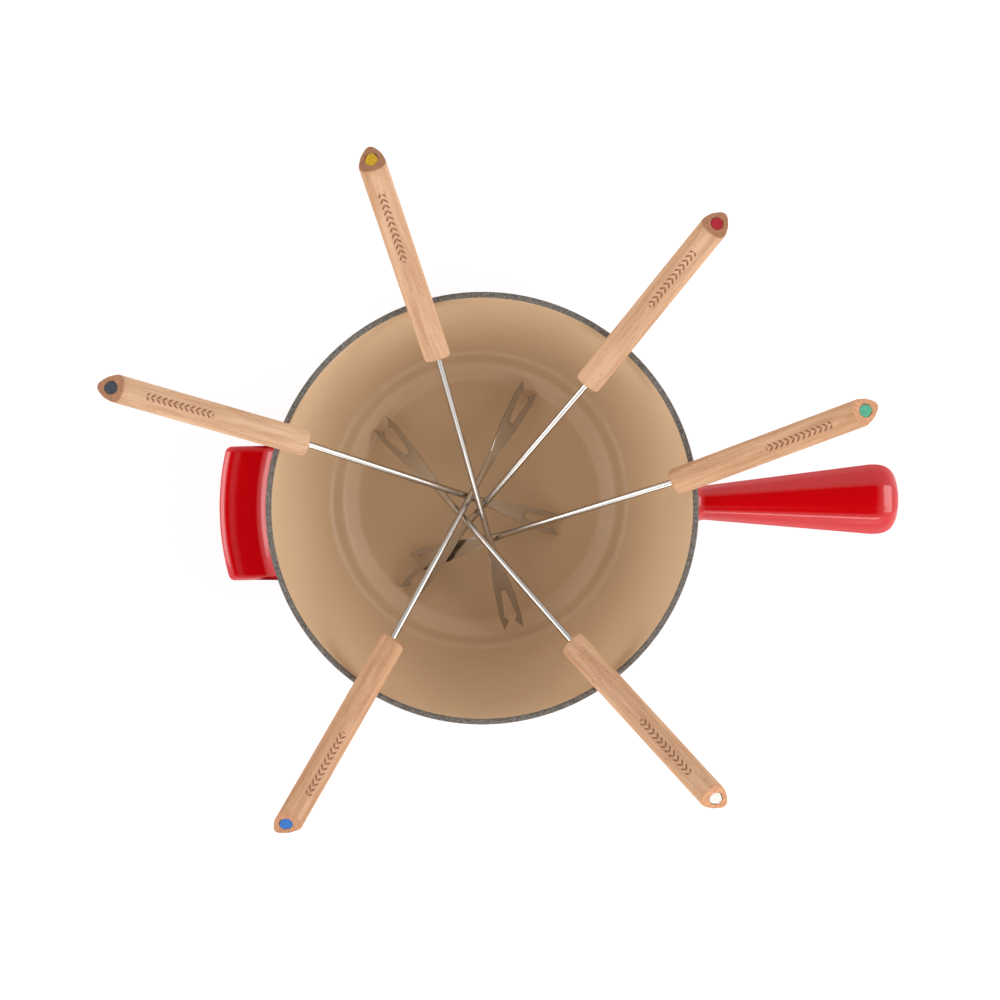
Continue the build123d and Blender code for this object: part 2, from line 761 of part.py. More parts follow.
# ---- regulator ----
regulator_z = cover_top_z + regulator_play
regulator_inner_radius = collar_outer_radius + regulator_play
rod_z = regulator_z + regulator_thickness + regulator_rod_radius
regulator_rod_plane = Plane(
    origin=on_circle(regulator_inner_radius + regulator_rod_inset, regulator_rod_bearing, rod_z),
    z_dir=on_circle(1.0, regulator_rod_bearing),
)
regulator_rod_length = regulator_rod_reach - regulator_inner_radius - regulator_rod_inset

with BuildPart() as regulator_ring:
    with BuildSketch(Plane.XY.offset(regulator_z)):
        Circle(regulator_outer_radius)
        Circle(regulator_inner_radius, mode=Mode.SUBTRACT)
        with PolarLocations(air_hole_circle, air_holes, start_angle=180 / air_holes):
            Circle(air_hole_radius, mode=Mode.SUBTRACT)
    extrude(amount=regulator_thickness)
keep(regulator_ring.part, "regulator_ring")

with BuildPart() as regulator_rod:
    with BuildSketch(regulator_rod_plane):
        Circle(regulator_rod_radius)
    extrude(amount=regulator_rod_length)
keep(regulator_rod.part, "regulator_rod")

with BuildPart() as regulator_knob:
    knob_start = regulator_rod_plane.offset(regulator_rod_length - knob_socket)
    for length_share, radius_share in regulator_knob_shares:
        with BuildSketch(knob_start.offset(regulator_knob_length * length_share)):
            Circle(regulator_knob_radius * radius_share)
    loft()
    fillet(regulator_knob.edges().sort_by_distance(knob_start.origin)[-1], knob_rounding)
    with BuildSketch(knob_start):
        Circle(regulator_rod_radius + bore_play)
    extrude(amount=knob_socket + bore_play, mode=Mode.SUBTRACT)
keep(regulator_knob.part, "regulator_knob")

# ---- snuffer ----
snuffer_z = collar_top_z + snuffer_gap
snuffer_top_z = snuffer_z + snuffer_thickness

with BuildPart() as snuffer_lid:
    with BuildSketch(Plane.XY.offset(snuffer_z)):
        Circle(snuffer_radius)
        with Locations((0, snuffer_pin_circle / 2)):
            Rectangle(2 * snuffer_arm_half_width, snuffer_pin_circle)
        with Locations((0, snuffer_pin_circle)):
            Circle(snuffer_arm_half_width)
            Circle(snuffer_pin_radius + snuffer_pin_play, mode=Mode.SUBTRACT)
    extrude(amount=snuffer_thickness)
keep(snuffer_lid.part, "snuffer_lid")

with BuildPart() as snuffer_knob:
    with BuildSketch(Plane.XZ) as knob_profile:
        with BuildLine():
            Polyline(
                (0, snuffer_top_z),
                (snuffer_flange_radius, snuffer_top_z),
                (snuffer_neck_radius, snuffer_top_z + snuffer_knob_waist),
                (snuffer_knob_radius, snuffer_top_z + snuffer_knob_band[0]),
                (snuffer_knob_radius, snuffer_top_z + snuffer_knob_band[1]),
                (snuffer_neck_radius, snuffer_top_z + snuffer_knob_height),
                (0, snuffer_top_z + snuffer_knob_height),
                close=True,
            )
        make_face()
        fillet(knob_profile.vertices().group_by(Axis.X)[-1], knob_rounding)
    revolve(axis=Axis.Z)
keep(snuffer_knob.part, "snuffer_knob")

standing = (Align.CENTER, Align.CENTER, Align.MIN)
with BuildPart() as snuffer_pin:
    # riveted into the cover, with a wide foot under the lid's arm and a head over it
    with Locations((0, snuffer_pin_circle, cover_z)):
        Cylinder(
            snuffer_pin_radius,
            snuffer_top_z + 2 * snuffer_gap - cover_z,
            align=standing,
        )
    with Locations((0, snuffer_pin_circle, cover_top_z)):
        Cylinder(snuffer_pin_head_radius, collar_height, align=standing)
    with Locations((0, snuffer_pin_circle, snuffer_top_z + snuffer_gap)):
        Cylinder(snuffer_pin_head_radius, snuffer_pin_head_height, align=standing)
    fillet(snuffer_pin.edges().group_by(Axis.Z)[-1], head_rounding)
keep(snuffer_pin.part, "snuffer_pin")
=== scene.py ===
import bpy
import bmesh
import json
import math
from mathutils import Matrix, Vector


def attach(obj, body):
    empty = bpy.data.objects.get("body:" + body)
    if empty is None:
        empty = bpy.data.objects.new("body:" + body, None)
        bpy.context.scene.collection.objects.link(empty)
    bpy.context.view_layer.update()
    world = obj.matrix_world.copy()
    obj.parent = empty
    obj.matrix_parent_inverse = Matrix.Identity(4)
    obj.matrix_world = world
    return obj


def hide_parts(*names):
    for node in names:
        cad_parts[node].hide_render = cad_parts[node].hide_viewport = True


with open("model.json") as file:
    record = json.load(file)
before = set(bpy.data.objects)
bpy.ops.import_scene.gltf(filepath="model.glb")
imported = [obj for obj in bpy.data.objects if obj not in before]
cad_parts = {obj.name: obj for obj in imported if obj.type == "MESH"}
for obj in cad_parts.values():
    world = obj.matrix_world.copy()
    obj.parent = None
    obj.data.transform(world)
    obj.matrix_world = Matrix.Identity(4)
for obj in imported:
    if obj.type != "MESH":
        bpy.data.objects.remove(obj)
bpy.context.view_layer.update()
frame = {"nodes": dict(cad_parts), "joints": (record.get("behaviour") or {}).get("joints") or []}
mm = 0.001
print("frame loaded")


# small helpers for meshes

def linkMesh(name, mesh):
    piece = bpy.data.objects.new(name, mesh)
    bpy.context.scene.collection.objects.link(piece)
    return piece


def meshFrom(name, points, faces, material):
    mesh = bpy.data.meshes.new(name)
    mesh.from_pydata([tuple(p) for p in points], [], faces)
    bm = bmesh.new()
    bm.from_mesh(mesh)
    bmesh.ops.recalc_face_normals(bm, faces=bm.faces)
    bm.to_mesh(mesh)
    bm.free()
    mesh.shade_smooth()
    mesh.materials.append(material)
    return mesh


def ringFaces(ringCount, perRing, start=0):
    # quads between neighbouring closed rings
    faces = []
    for i in range(ringCount - 1):
        a, b = start + i * perRing, start + (i + 1) * perRing
        for j in range(perRing):
            k = (j + 1) % perRing
            faces.append((a + j, a + k, b + k, b + j))
    return faces


def capFaces(first, perRing, pole):
    return [(first + j, first + (j + 1) % perRing, pole) for j in range(perRing)]


def loftRings(rings):
    # a closed shell: rings of points, the first and last one closed with a pole
    perRing = len(rings[0])
    points = [p for ring in rings for p in ring]
    faces = ringFaces(len(rings), perRing)
    for index in (0, len(rings) - 1):
        ring = rings[index]
        pole = sum((Vector(p) for p in ring), Vector()) / perRing
        faces += capFaces(index * perRing, perRing, len(points))
        points.append(pole)
    return points, faces


def lathe(profile, segments):
    # profile runs from the axis back to the axis: (radius, height); both ends become poles
    rings = []
    for radius, height in profile[1:-1]:
        ring = []
        for j in range(segments):
            a = 2 * math.pi * j / segments
            ring.append(Vector((radius * math.cos(a), radius * math.sin(a), height)))
        rings.append(ring)
    points, faces = loftRings(rings)
    points[-2].z = profile[0][1]
    points[-1].z = profile[-1][1]
    return points, faces


def arcRun(start, end, bulge, steps):
    # points on the arc from start to end that stands out by bulge, to the right of the way
    run, rise = end[0] - start[0], end[1] - start[1]
    length = math.hypot(run, rise)
    nx, ny = rise / length, -run / length
    radius = (length ** 2 / 4 + bulge ** 2) / (2 * abs(bulge))
    sign = 1 if bulge > 0 else -1
    middle = ((start[0] + end[0]) / 2, (start[1] + end[1]) / 2)
    centre = (middle[0] + nx * (bulge - sign * radius), middle[1] + ny * (bulge - sign * radius))
    a0 = math.atan2(start[1] - centre[1], start[0] - centre[0])
    a1 = math.atan2(end[1] - centre[1], end[0] - centre[0])
    if a1 - a0 > math.pi:
        a1 -= 2 * math.pi
    if a0 - a1 > math.pi:
        a1 += 2 * math.pi
    points = []
    for i in range(steps + 1):
        a = a0 + (a1 - a0) * i / steps
        points.append((centre[0] + radius * math.cos(a), centre[1] + radius * math.sin(a)))
    return points


def lineRun(start, end, steps):
    run, rise = end[0] - start[0], end[1] - start[1]
    return [(start[0] + run * i / steps, start[1] + rise * i / steps) for i in range(steps + 1)]


def shorten(run, distance):
    # the run without its last stretch
    run = list(run)
    while distance > 0 and len(run) > 1:
        gap = math.dist(run[-1], run[-2])
        if gap > distance:
            share = distance / gap
            last, before = run[-1], run[-2]
            run[-1] = (last[0] + (before[0] - last[0]) * share, last[1] + (before[1] - last[1]) * share)
            return run
        distance -= gap
        run.pop()
    return run


def joinRuns(runs, softness, steps=7):
    # one path through the runs, with each corner between them rounded over
    path = []
    for i, run in enumerate(runs):
        if i > 0:
            run = shorten(run[::-1], softness[i - 1])[::-1]
        if i < len(softness):
            run = shorten(run, softness[i])
        if i > 0:
            corner, start, end = runs[i][0], path[-1], run[0]
            for k in range(1, steps):
                t = k / steps
                a, b, c = (1 - t) ** 2, 2 * t * (1 - t), t * t
                path.append(tuple(a * start[n] + b * corner[n] + c * end[n] for n in (0, 1)))
        path += run
    return path


def floatAttribute(mesh, name, values):
    attribute = mesh.attributes.new(name, "FLOAT", "POINT")
    attribute.data.foreach_set("value", values)


def vectorAttribute(mesh, name, values):
    attribute = mesh.attributes.new(name, "FLOAT_VECTOR", "POINT")
    attribute.data.foreach_set("vector", [c for v in values for c in v])


# small helpers for materials

def newMaterial(name, roughness, metallic=0.0, specular=0.5):
    material = bpy.data.materials.new(name)
    material.use_nodes = True
    tree = material.node_tree
    shader = tree.nodes["Principled BSDF"]
    shader.inputs["Roughness"].default_value = roughness
    shader.inputs["Metallic"].default_value = metallic
    shader.inputs["Specular IOR Level"].default_value = specular
    return material, tree, shader


def addNode(tree, kind, values=None, **settings):
    node = tree.nodes.new(kind)
    for key, value in settings.items():
        setattr(node, key, value)
    for key, value in (values or {}).items():
        if isinstance(value, bpy.types.NodeSocket):
            tree.links.new(value, node.inputs[key])
        else:
            node.inputs[key].default_value = value
    return node


def maths(tree, operation, a, b=0.0, clamp=False):
    return addNode(tree, "ShaderNodeMath", {0: a, 1: b}, operation=operation, use_clamp=clamp).outputs[0]


def plus(tree, a, b, clamp=False):
    return maths(tree, "ADD", a, b, clamp)


def minus(tree, a, b):
    return maths(tree, "SUBTRACT", a, b)


def times(tree, a, b):
    return maths(tree, "MULTIPLY", a, b)


def noiseOf(tree, vector, scale, detail=3.0, roughness=0.5):
    values = {"Vector": vector, "Scale": scale, "Detail": detail, "Roughness": roughness}
    return addNode(tree, "ShaderNodeTexNoise", values).outputs["Fac"]


def cellsOf(tree, vector):
    # how far each place is from the middle of its cell
    return addNode(tree, "ShaderNodeTexVoronoi", {"Vector": vector, "Scale": 1.0}).outputs["Distance"]


def rampOf(tree, factor, *stops):
    node = addNode(tree, "ShaderNodeValToRGB", {"Fac": factor})
    elements = node.color_ramp.elements
    while len(elements) < len(stops):
        elements.new(0.5)
    for element, (place, colour) in zip(elements, stops):
        element.position = place
        element.color = (*colour, 1.0)
    return node.outputs["Color"]


def mixColours(tree, factor, a, b, blend="MIX"):
    node = tree.nodes.new("ShaderNodeMix")
    node.data_type = "RGBA"
    node.blend_type = blend
    for socket, value in ((node.inputs[0], factor), (node.inputs[6], a), (node.inputs[7], b)):
        if isinstance(value, bpy.types.NodeSocket):
            tree.links.new(value, socket)
        else:
            socket.default_value = value if isinstance(value, float) else (*value, 1.0)
    return node.outputs[2]


def stretched(tree, vector, scale):
    return addNode(tree, "ShaderNodeMapping", {"Vector": vector, "Scale": scale}).outputs["Vector"]


def rangeOf(tree, value, low, high, toLow=0.0, toHigh=1.0):
    values = {"Value": value, "From Min": low, "From Max": high, "To Min": toLow, "To Max": toHigh}
    return addNode(tree, "ShaderNodeMapRange", values).outputs["Result"]


def bumpOn(tree, shader, height, distance):
    # distance is in metres
    node = addNode(tree, "ShaderNodeBump", {"Height": height, "Distance": distance, "Strength": 1.0})
    tree.links.new(node.outputs["Normal"], shader.inputs["Normal"])


def objectPlace(tree):
    return tree.nodes.new("ShaderNodeTexCoord").outputs["Object"]


def attributeOf(tree, name, output="Fac"):
    return addNode(tree, "ShaderNodeAttribute", attribute_name=name).outputs[output]


# enamel, red outside and sand inside, with the bare iron rim between them

enamelLook = {
    "red": (0.53, 0.0008, 0.0035),
    "redDeep": (0.41, 0.0005, 0.0025),
    "sand": (0.67, 0.48, 0.305),
    "sandDeep": (0.62, 0.435, 0.268),
    "rimDark": (0.022, 0.018, 0.014),
    "rimLight": (0.21, 0.185, 0.16),
    "redRoughness": 0.13,
    "sandRoughness": 0.36,
    "rimRoughness": 0.78,
}


def makeEnamel(look):
    material, tree, shader = newMaterial("enamel", look["redRoughness"])
    place = objectPlace(tree)
    inside = attributeOf(tree, "inside")
    band = attributeOf(tree, "rimBand")
    wander = noiseOf(tree, place, 900.0, 4.0, 0.65)
    edge = plus(tree, band, times(tree, minus(tree, wander, 0.5), 0.9))
    rimMask = rangeOf(tree, edge, 0.42, 0.58)
    cloud = noiseOf(tree, place, 22.0, 3.0)
    red = mixColours(tree, cloud, look["redDeep"], look["red"])
    sand = mixColours(tree, cloud, look["sandDeep"], look["sand"])
    coat = mixColours(tree, rangeOf(tree, inside, 0.45, 0.55), red, sand)
    grain = noiseOf(tree, place, 1500.0, 4.0, 0.7)
    rim = rampOf(tree, grain, (0.36, look["rimDark"]), (0.62, look["rimLight"]))
    tree.links.new(mixColours(tree, rimMask, coat, rim), shader.inputs["Base Color"])
    coatRough = rangeOf(tree, inside, 0.45, 0.55, look["redRoughness"], look["sandRoughness"])
    spread = times(tree, rimMask, minus(tree, look["rimRoughness"], coatRough))
    tree.links.new(plus(tree, coatRough, spread), shader.inputs["Roughness"])
    peel = noiseOf(tree, place, 150.0, 2.0, 0.4)
    bareGrain = times(tree, grain, rimMask)
    relief = plus(tree, times(tree, peel, 0.35), times(tree, bareGrain, 0.8))
    bumpOn(tree, shader, relief, 0.00022)
    return material


enamel = makeEnamel(enamelLook)

potSizes = {
    "floorZ": 101.0, "rimZ": 193.0, "bottomZ": 96.0, "shoulderZ": 100.0,
    "floorRadius": 61.5, "stepRun": 7.5, "stepHeight": 4.5, "ledge": 6.5,
    "rimRadius": 100.0, "rimWidth": 2.8, "wallBulge": 5.0, "footThickness": 4.5,
    "footRadius": 66.0, "segments": 288, "wallSteps": 30,
    # how far each corner is rounded over, from the floor's edge round to the foot's underside
    "rounding": (1.6, 1.6, 3.0, 1.0, 1.0, 4.5, 0.6, 1.2),
    # the bare band: how far down it reaches, how far it fades, and where the outside begins
    "bandDepth": 0.75, "bandFade": 0.9, "outsideDrop": 1.3,
}


def makeBowl(sizes):
    s = sizes
    ledgeZ = s["floorZ"] + s["stepHeight"]
    stepRadius = s["floorRadius"] + s["stepRun"]
    innerFoot = (stepRadius + s["ledge"], ledgeZ)
    innerRim, outerRim = (s["rimRadius"], s["rimZ"]), (s["rimRadius"] + s["rimWidth"], s["rimZ"])
    outerFoot = (innerFoot[0] + s["footThickness"], s["shoulderZ"])
    runs = [
        lineRun((0, s["floorZ"]), (s["floorRadius"], s["floorZ"]), 8),
        lineRun((s["floorRadius"], s["floorZ"]), (stepRadius, ledgeZ), 3),
        lineRun((stepRadius, ledgeZ), innerFoot, 2),
        arcRun(innerFoot, innerRim, s["wallBulge"], s["wallSteps"]),
        lineRun(innerRim, outerRim, 6),
        arcRun(outerRim, outerFoot, -s["wallBulge"], s["wallSteps"]),
        lineRun(outerFoot, (s["footRadius"], s["shoulderZ"]), 2),
        lineRun((s["footRadius"], s["shoulderZ"]), (s["footRadius"], s["bottomZ"]), 2),
        lineRun((s["footRadius"], s["bottomZ"]), (0, s["bottomZ"]), 6),
    ]
    profile = joinRuns(runs, s["rounding"])
    points, faces = lathe([(r * mm, z * mm) for r, z in profile], s["segments"])
    topMiddle = s["rimRadius"] + s["rimWidth"] / 2
    inside, band = [], []
    passedRim = False
    for r, z in profile[1:-1]:
        if z > s["rimZ"] - s["outsideDrop"] and r >= topMiddle:
            passedRim = True
        rimShare = 0.5 + (z - (s["rimZ"] - s["bandDepth"])) / s["bandFade"]
        inside += [0.0 if passedRim else 1.0] * s["segments"]
        band += [max(0.0, min(1.0, rimShare))] * s["segments"]
    # the two poles: the middle of the floor and of the underside
    inside += [1.0, 0.0]
    band += [0.0, 0.0]
    return points, faces, inside, band


longHandle = {
    "startX": 100.8, "rootX": 107.5, "reach": 199.6, "endRun": 13.6,
    "rootWidth": 8.9, "endWidth": 17.7, "rootHeight": 7.0, "endHeight": 10.0,
    "facet": 0.46, "rootZ": 180.0, "rise": 3.0, "flare": 2.6,
    "crown": 0.45,          # how far the facets bow outwards at the outer end
    # a corner's rounding, as a share of the half height, and the most it takes of a side
    "cornerShare": 0.2, "cornerStretch": 1.3, "cornerLimit": 0.42,
    "cornerSteps": 7, "edgeSteps": 7, "rootSteps": 7, "bodySteps": 12, "noseSteps": 14,
}


def handleRing(x, halfWidth, halfHeight, facet, sizes, centreZ):
    s = sizes
    corners = [
        (-halfWidth, 0), (-facet, halfHeight), (facet, halfHeight),
        (halfWidth, 0), (facet, -halfHeight), (-facet, -halfHeight),
    ]
    ring = []
    cut = s["cornerShare"] * halfHeight * s["cornerStretch"]
    for i, corner in enumerate(corners):
        before, after = Vector(corners[i - 1]), Vector(corners[(i + 1) % 6])
        here = Vector(corner)
        into = min(cut, (here - before).length * s["cornerLimit"])
        out = min(cut, (after - here).length * s["cornerLimit"])
        start = here + (before - here).normalized() * into
        end = here + (after - here).normalized() * out
        for k in range(s["cornerSteps"] + 1):
            t = k / s["cornerSteps"]
            ring.append(start * (1 - t) ** 2 + here * 2 * t * (1 - t) + end * t * t)
        nextStart = after + (here - after).normalized() * out
        outward = Vector(((nextStart - end).y, -(nextStart - end).x)).normalized()
        if outward.dot((end + nextStart) / 2) < 0:
            outward = -outward
        for k in range(1, s["edgeSteps"]):
            t = k / s["edgeSteps"]
            bow = s["crown"] * 4 * t * (1 - t) * halfHeight / s["endHeight"]
            ring.append(end.lerp(nextStart, t) + outward * bow)
    return [Vector((x, p.x, centreZ + p.y)) * mm for p in ring]


def makeLongHandle(sizes):
    s = sizes
    straightEnd = s["reach"] - s["endRun"]
    rings = []

    def ringAt(x, flare=0.0, widthShare=1.0, heightShare=1.0):
        t = min(1.0, (x - s["rootX"]) / (straightEnd - s["rootX"]))
        width = s["rootWidth"] + (s["endWidth"] - s["rootWidth"]) * t
        height = s["rootHeight"] + (s["endHeight"] - s["rootHeight"]) * t
        facet = width * s["facet"] * widthShare + flare
        centre = s["rootZ"] + s["rise"] * (x - s["rootX"]) / (s["reach"] - s["rootX"])
        halfWidth, halfHeight = width * widthShare + flare, height * heightShare + flare
        rings.append(handleRing(x, halfWidth, halfHeight, facet, s, centre))

    for k in range(s["rootSteps"]):             # concave root against the wall
        t = k / s["rootSteps"]
        ringAt(s["startX"] + (s["rootX"] - s["startX"]) * t, s["flare"] * (1 - t) ** 2.2)
    for k in range(s["bodySteps"] + 1):
        ringAt(s["rootX"] + (straightEnd - s["rootX"]) * k / s["bodySteps"])
    pastNose = s["noseSteps"] + 0.6             # so the last ring stops short of a point
    for k in range(1, s["noseSteps"] + 1):      # bullnose
        t = math.sin(math.pi / 2 * k / pastNose)
        ringAt(straightEnd + s["endRun"] * t, 0.0, (1 - t ** 3) ** 0.4, math.sqrt(1 - t ** 2))
    return loftRings(rings)


helperTab = {
    "reach": 125.5, "innerRadius": 101.0, "rimRadius": 102.8, "halfWidth": 32.0,
    "edgeZ": 184.0, "thickness": 9.0, "dish": 1.6, "cove": 5.0, "coveBow": 0.7, "endRounding": 3.2,
    # the outer edge from its side up over the lip: how far in from the reach, how far below the top
    "edge": ((0.0, 4.2), (0.2, 1.9), (3.3, 0.0)), "underInset": 2.0, "lipInset": 9.2,
    "rounding": (1.0, 1.0, 0.8, 1.4, 2.6, 0.8, 0.4),
    # how much of the end's rounding the top, the underside and the outer edge each take
    "topShare": 0.8, "underShare": 0.6, "reachShare": 0.75, "endSteps": 8, "halfSteps": 12,
}


def makeHelperTab(sizes):
    s = sizes
    floorZ, underZ = s["edgeZ"] - s["dish"], s["edgeZ"] - s["thickness"]
    coveFoot = (s["rimRadius"] + s["cove"], floorZ)
    coveTop = (s["innerRadius"] - 0.2, floorZ + s["cove"] * 0.9)
    outline = [(s["innerRadius"], underZ), (s["reach"] - s["underInset"], underZ)]
    outline += [(s["reach"] - inset, s["edgeZ"] - drop) for inset, drop in s["edge"]]
    outline += [(s["reach"] - s["lipInset"], floorZ), coveFoot]
    runs = [lineRun(a, b, steps) for a, b, steps in zip(outline, outline[1:], (6, 2, 2, 2, 2, 5))]
    runs += [arcRun(coveFoot, coveTop, -s["coveBow"], 8), lineRun(coveTop, outline[0], 4)]
    profile = joinRuns(runs, s["rounding"], steps=5)
    rings = []
    inner = s["halfWidth"] - s["endRounding"]
    places = []
    for k in range(s["endSteps"] + 1):
        a = math.pi / 2 * k / s["endSteps"]
        places.append((inner + s["endRounding"] * math.cos(a), s["endRounding"] * (1 - math.sin(a))))
    half = places + [(inner * (1 - k / s["halfSteps"]), 0.0) for k in range(1, s["halfSteps"])]
    whole = half + [(0.0, 0.0)] + [(-y, inset) for y, inset in half[::-1]]
    for y, inset in whole:
        # near the ends the section shrinks, so the end is rounded over
        top, bottom = s["edgeZ"] - inset * s["topShare"], underZ + inset * s["underShare"]
        ring = []
        for r, z in profile:
            z = max(bottom, z)
            if r > s["innerRadius"] + 0.5:
                z = bottom + (z - underZ) * (top - bottom) / (s["edgeZ"] - underZ)
            r = min(r, s["reach"] - inset * s["reachShare"])
            x = -math.sqrt(max(r * r - y * y, 1.0))
            ring.append(Vector((x, y, z)) * mm)
        rings.append(ring)
    return loftRings(rings)


def addShell(allPoints, allFaces, points, faces):
    start = len(allPoints)
    allPoints += points
    allFaces += [tuple(i + start for i in face) for face in faces]


potPoints, potFaces, insideValues, bandValues = makeBowl(potSizes)
potPoints, potFaces = list(potPoints), list(potFaces)
for points, faces in (makeLongHandle(longHandle), makeHelperTab(helperTab)):
    addShell(potPoints, potFaces, points, faces)
    insideValues += [0.0] * len(points)
    bandValues += [0.0] * len(points)
potMesh = meshFrom("potShell", potPoints, potFaces, enamel)
floatAttribute(potMesh, "inside", insideValues)
floatAttribute(potMesh, "rimBand", bandValues)
potShell = linkMesh("potShell", potMesh)
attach(potShell, "pot")
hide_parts("pot")
print("pot made")


# forks: beech handles with a burnt chevron row, coloured plugs, polished shafts

beechLook = {
    "light": (0.60, 0.38, 0.235), "middle": (0.43, 0.235, 0.12), "fleck": (0.26, 0.10, 0.034),
    "burn": (0.17, 0.048, 0.019), "endLight": (0.38, 0.17, 0.08), "endDark": (0.20, 0.078, 0.033),
    "burnStart": 217.0, "burnEnd": 253.0, "burnHalf": 1.7, "chevronPitch": 3.0,
}


def makeBeech(look):
    material, tree, shader = newMaterial("beech", 0.55, specular=0.35)
    place = attributeOf(tree, "grainPlace", "Vector")
    tone = attributeOf(tree, "woodTone")
    endGrain = attributeOf(tree, "endGrain")
    broad = noiseOf(tree, stretched(tree, place, (0.30, 0.30, 0.020)), 1.0, 3.0)
    streaks = noiseOf(tree, stretched(tree, place, (2.2, 2.2, 0.07)), 1.0, 4.0, 0.6)
    mixed = plus(tree, times(tree, broad, 0.6), times(tree, streaks, 0.4))
    wood = rampOf(tree, mixed, (0.38, look["middle"]), (0.60, look["light"]))
    warm = mixColours(tree, tone, (1.0, 1.0, 1.0), (0.90, 0.80, 0.72))
    wood = mixColours(tree, 1.0, wood, warm, "MULTIPLY")
    cells = cellsOf(tree, stretched(tree, place, (1.5, 1.5, 0.23)))
    size = noiseOf(tree, stretched(tree, place, (0.5, 0.5, 0.05)), 1.3, 2.0)
    fleck = maths(tree, "LESS_THAN", cells, times(tree, minus(tree, size, 0.28), 0.62))
    fine = cellsOf(tree, stretched(tree, place, (4.0, 4.0, 0.5)))
    hair = maths(tree, "LESS_THAN", fine, 0.17)
    fleckShare = plus(tree, times(tree, fleck, 0.66), times(tree, hair, 0.34), clamp=True)
    wood = mixColours(tree, fleckShare, wood, look["fleck"])
    # chevrons burnt along the top
    parts = addNode(tree, "ShaderNodeSeparateXYZ", {"Vector": attributeOf(tree, "stickPlace", "Vector")})
    side, upward, along = parts.outputs
    out = maths(tree, "ABSOLUTE", side)
    lean = plus(tree, along, times(tree, out, 1.1))
    phase = maths(tree, "FRACT", maths(tree, "DIVIDE", lean, look["chevronPitch"]))
    smudge = times(tree, minus(tree, noiseOf(tree, place, 1.6, 3.0), 0.5), 0.35)
    stroke = rangeOf(tree, maths(tree, "ABSOLUTE", minus(tree, phase, 0.5)), 0.24, 0.17)
    inRow = rangeOf(tree, plus(tree, out, smudge), look["burnHalf"] + 0.08, look["burnHalf"] - 0.08)
    middle = (look["burnStart"] + look["burnEnd"]) / 2
    half = (look["burnEnd"] - look["burnStart"]) / 2
    inSpan = maths(tree, "LESS_THAN", maths(tree, "ABSOLUTE", minus(tree, along, middle)), half)
    gap = maths(tree, "GREATER_THAN", out, 0.12)
    burnt = times(tree, times(tree, stroke, inRow), times(tree, inSpan, gap))
    burnt = times(tree, burnt, maths(tree, "GREATER_THAN", upward, 0.0))
    patchy = rangeOf(tree, noiseOf(tree, place, 2.4, 2.0), 0.3, 0.7, 0.78, 1.0)
    wood = mixColours(tree, times(tree, burnt, patchy), wood, look["burn"])
    # end grain on the back cut
    pores = cellsOf(tree, stretched(tree, place, (3.2, 3.2, 1.0)))
    rings = noiseOf(tree, stretched(tree, place, (0.5, 1.8, 0.05)), 1.0, 4.0)
    endTone = plus(tree, times(tree, rings, 0.7), times(tree, pores, 0.4))
    endColour = rampOf(tree, endTone, (0.35, look["endDark"]), (0.72, look["endLight"]))
    # painted sheen: the back cut lifted towards a pale bluish white, by each fork's own share
    paintedSheenEnd = mixColours(tree, 1.0, endColour, (1.75, 1.95, 2.1), "MULTIPLY")
    endColour = mixColours(tree, attributeOf(tree, "endLight"), endColour, paintedSheenEnd)
    tree.links.new(mixColours(tree, endGrain, wood, endColour), shader.inputs["Base Color"])
    sunk = plus(tree, times(tree, fleckShare, 0.6), times(tree, burnt, 1.2))
    relief = minus(tree, streaks, sunk)
    bumpOn(tree, shader, relief, 0.00008)
    return material


beech = makeBeech(beechLook)


def makeSteel(name, colour, roughness, attribute, stretch, scratchDepth):
    material, tree, shader = newMaterial(name, roughness, 1.0)
    if attribute:
        place = attributeOf(tree, attribute, "Vector")
    else:
        place = stretched(tree, objectPlace(tree), (1000.0, 1000.0, 1000.0))
    scratches = noiseOf(tree, stretched(tree, place, stretch), 1.0, 4.0, 0.7)
    tint = mixColours(tree, scratches, tuple(c * 0.86 for c in colour), colour)
    tree.links.new(tint, shader.inputs["Base Color"])
    rubbed = rangeOf(tree, scratches, 0.25, 0.75, roughness * 0.75, roughness * 1.4)
    tree.links.new(rubbed, shader.inputs["Roughness"])
    bumpOn(tree, shader, scratches, scratchDepth)
    return material


steelTone = (0.48, 0.46, 0.435)
polishedSteel = makeSteel("polishedSteel", steelTone, 0.2, "grainPlace", (5.0, 5.0, 0.12), 0.000006)

plugColours = {
    "yellow": (0.55, 0.32, 0.012), "red": (0.38, 0.010, 0.024), "green": (0.075, 0.36, 0.22),
    "white": (0.72, 0.69, 0.64), "blue": (0.022, 0.13, 0.42), "black": (0.035, 0.045, 0.06),
}


def makePlugPaint(colour, tone):
    material, tree, shader = newMaterial("plugPaint_" + colour, 0.5, specular=0.2)
    place = objectPlace(tree)
    blotch = noiseOf(tree, place, 700.0, 4.0, 0.6)
    dark = tuple(c * 0.72 for c in tone)
    tree.links.new(rampOf(tree, blotch, (0.32, dark), (0.6, tone)), shader.inputs["Base Color"])
    bumpOn(tree, shader, noiseOf(tree, place, 1100.0, 3.0), 0.00012)
    return material


forkSizes = {
    "length": 272.0, "handle": 110.0, "segments": 72, "bodySteps": 30,
    # the three-sided outline: its round, its corners, their softening, and how far it is raised
    "radius": 6.15, "ridge": 0.7, "soften": 0.15, "raise": 0.4,
    # the ends: the front's rounding, and the back's slant, reach below the axis and rounding
    "frontRounding": 2.1, "backTilt": 28.0, "under": 6.6, "backRounding": 0.45, "backRings": (1.2, 2.0, 2.8),
    "shaftBore": 1.65, "boreDepth": 34.0, "boreEdge": 0.15, "boreFace": 0.6, "tangEnd": 195.95,
    "plugRadius": 3.0, "plugBore": 3.05, "plugLength": 16.0, "plugEdge": 0.12, "plugSegments": 40,
    "plugWobble": 0.006,
}
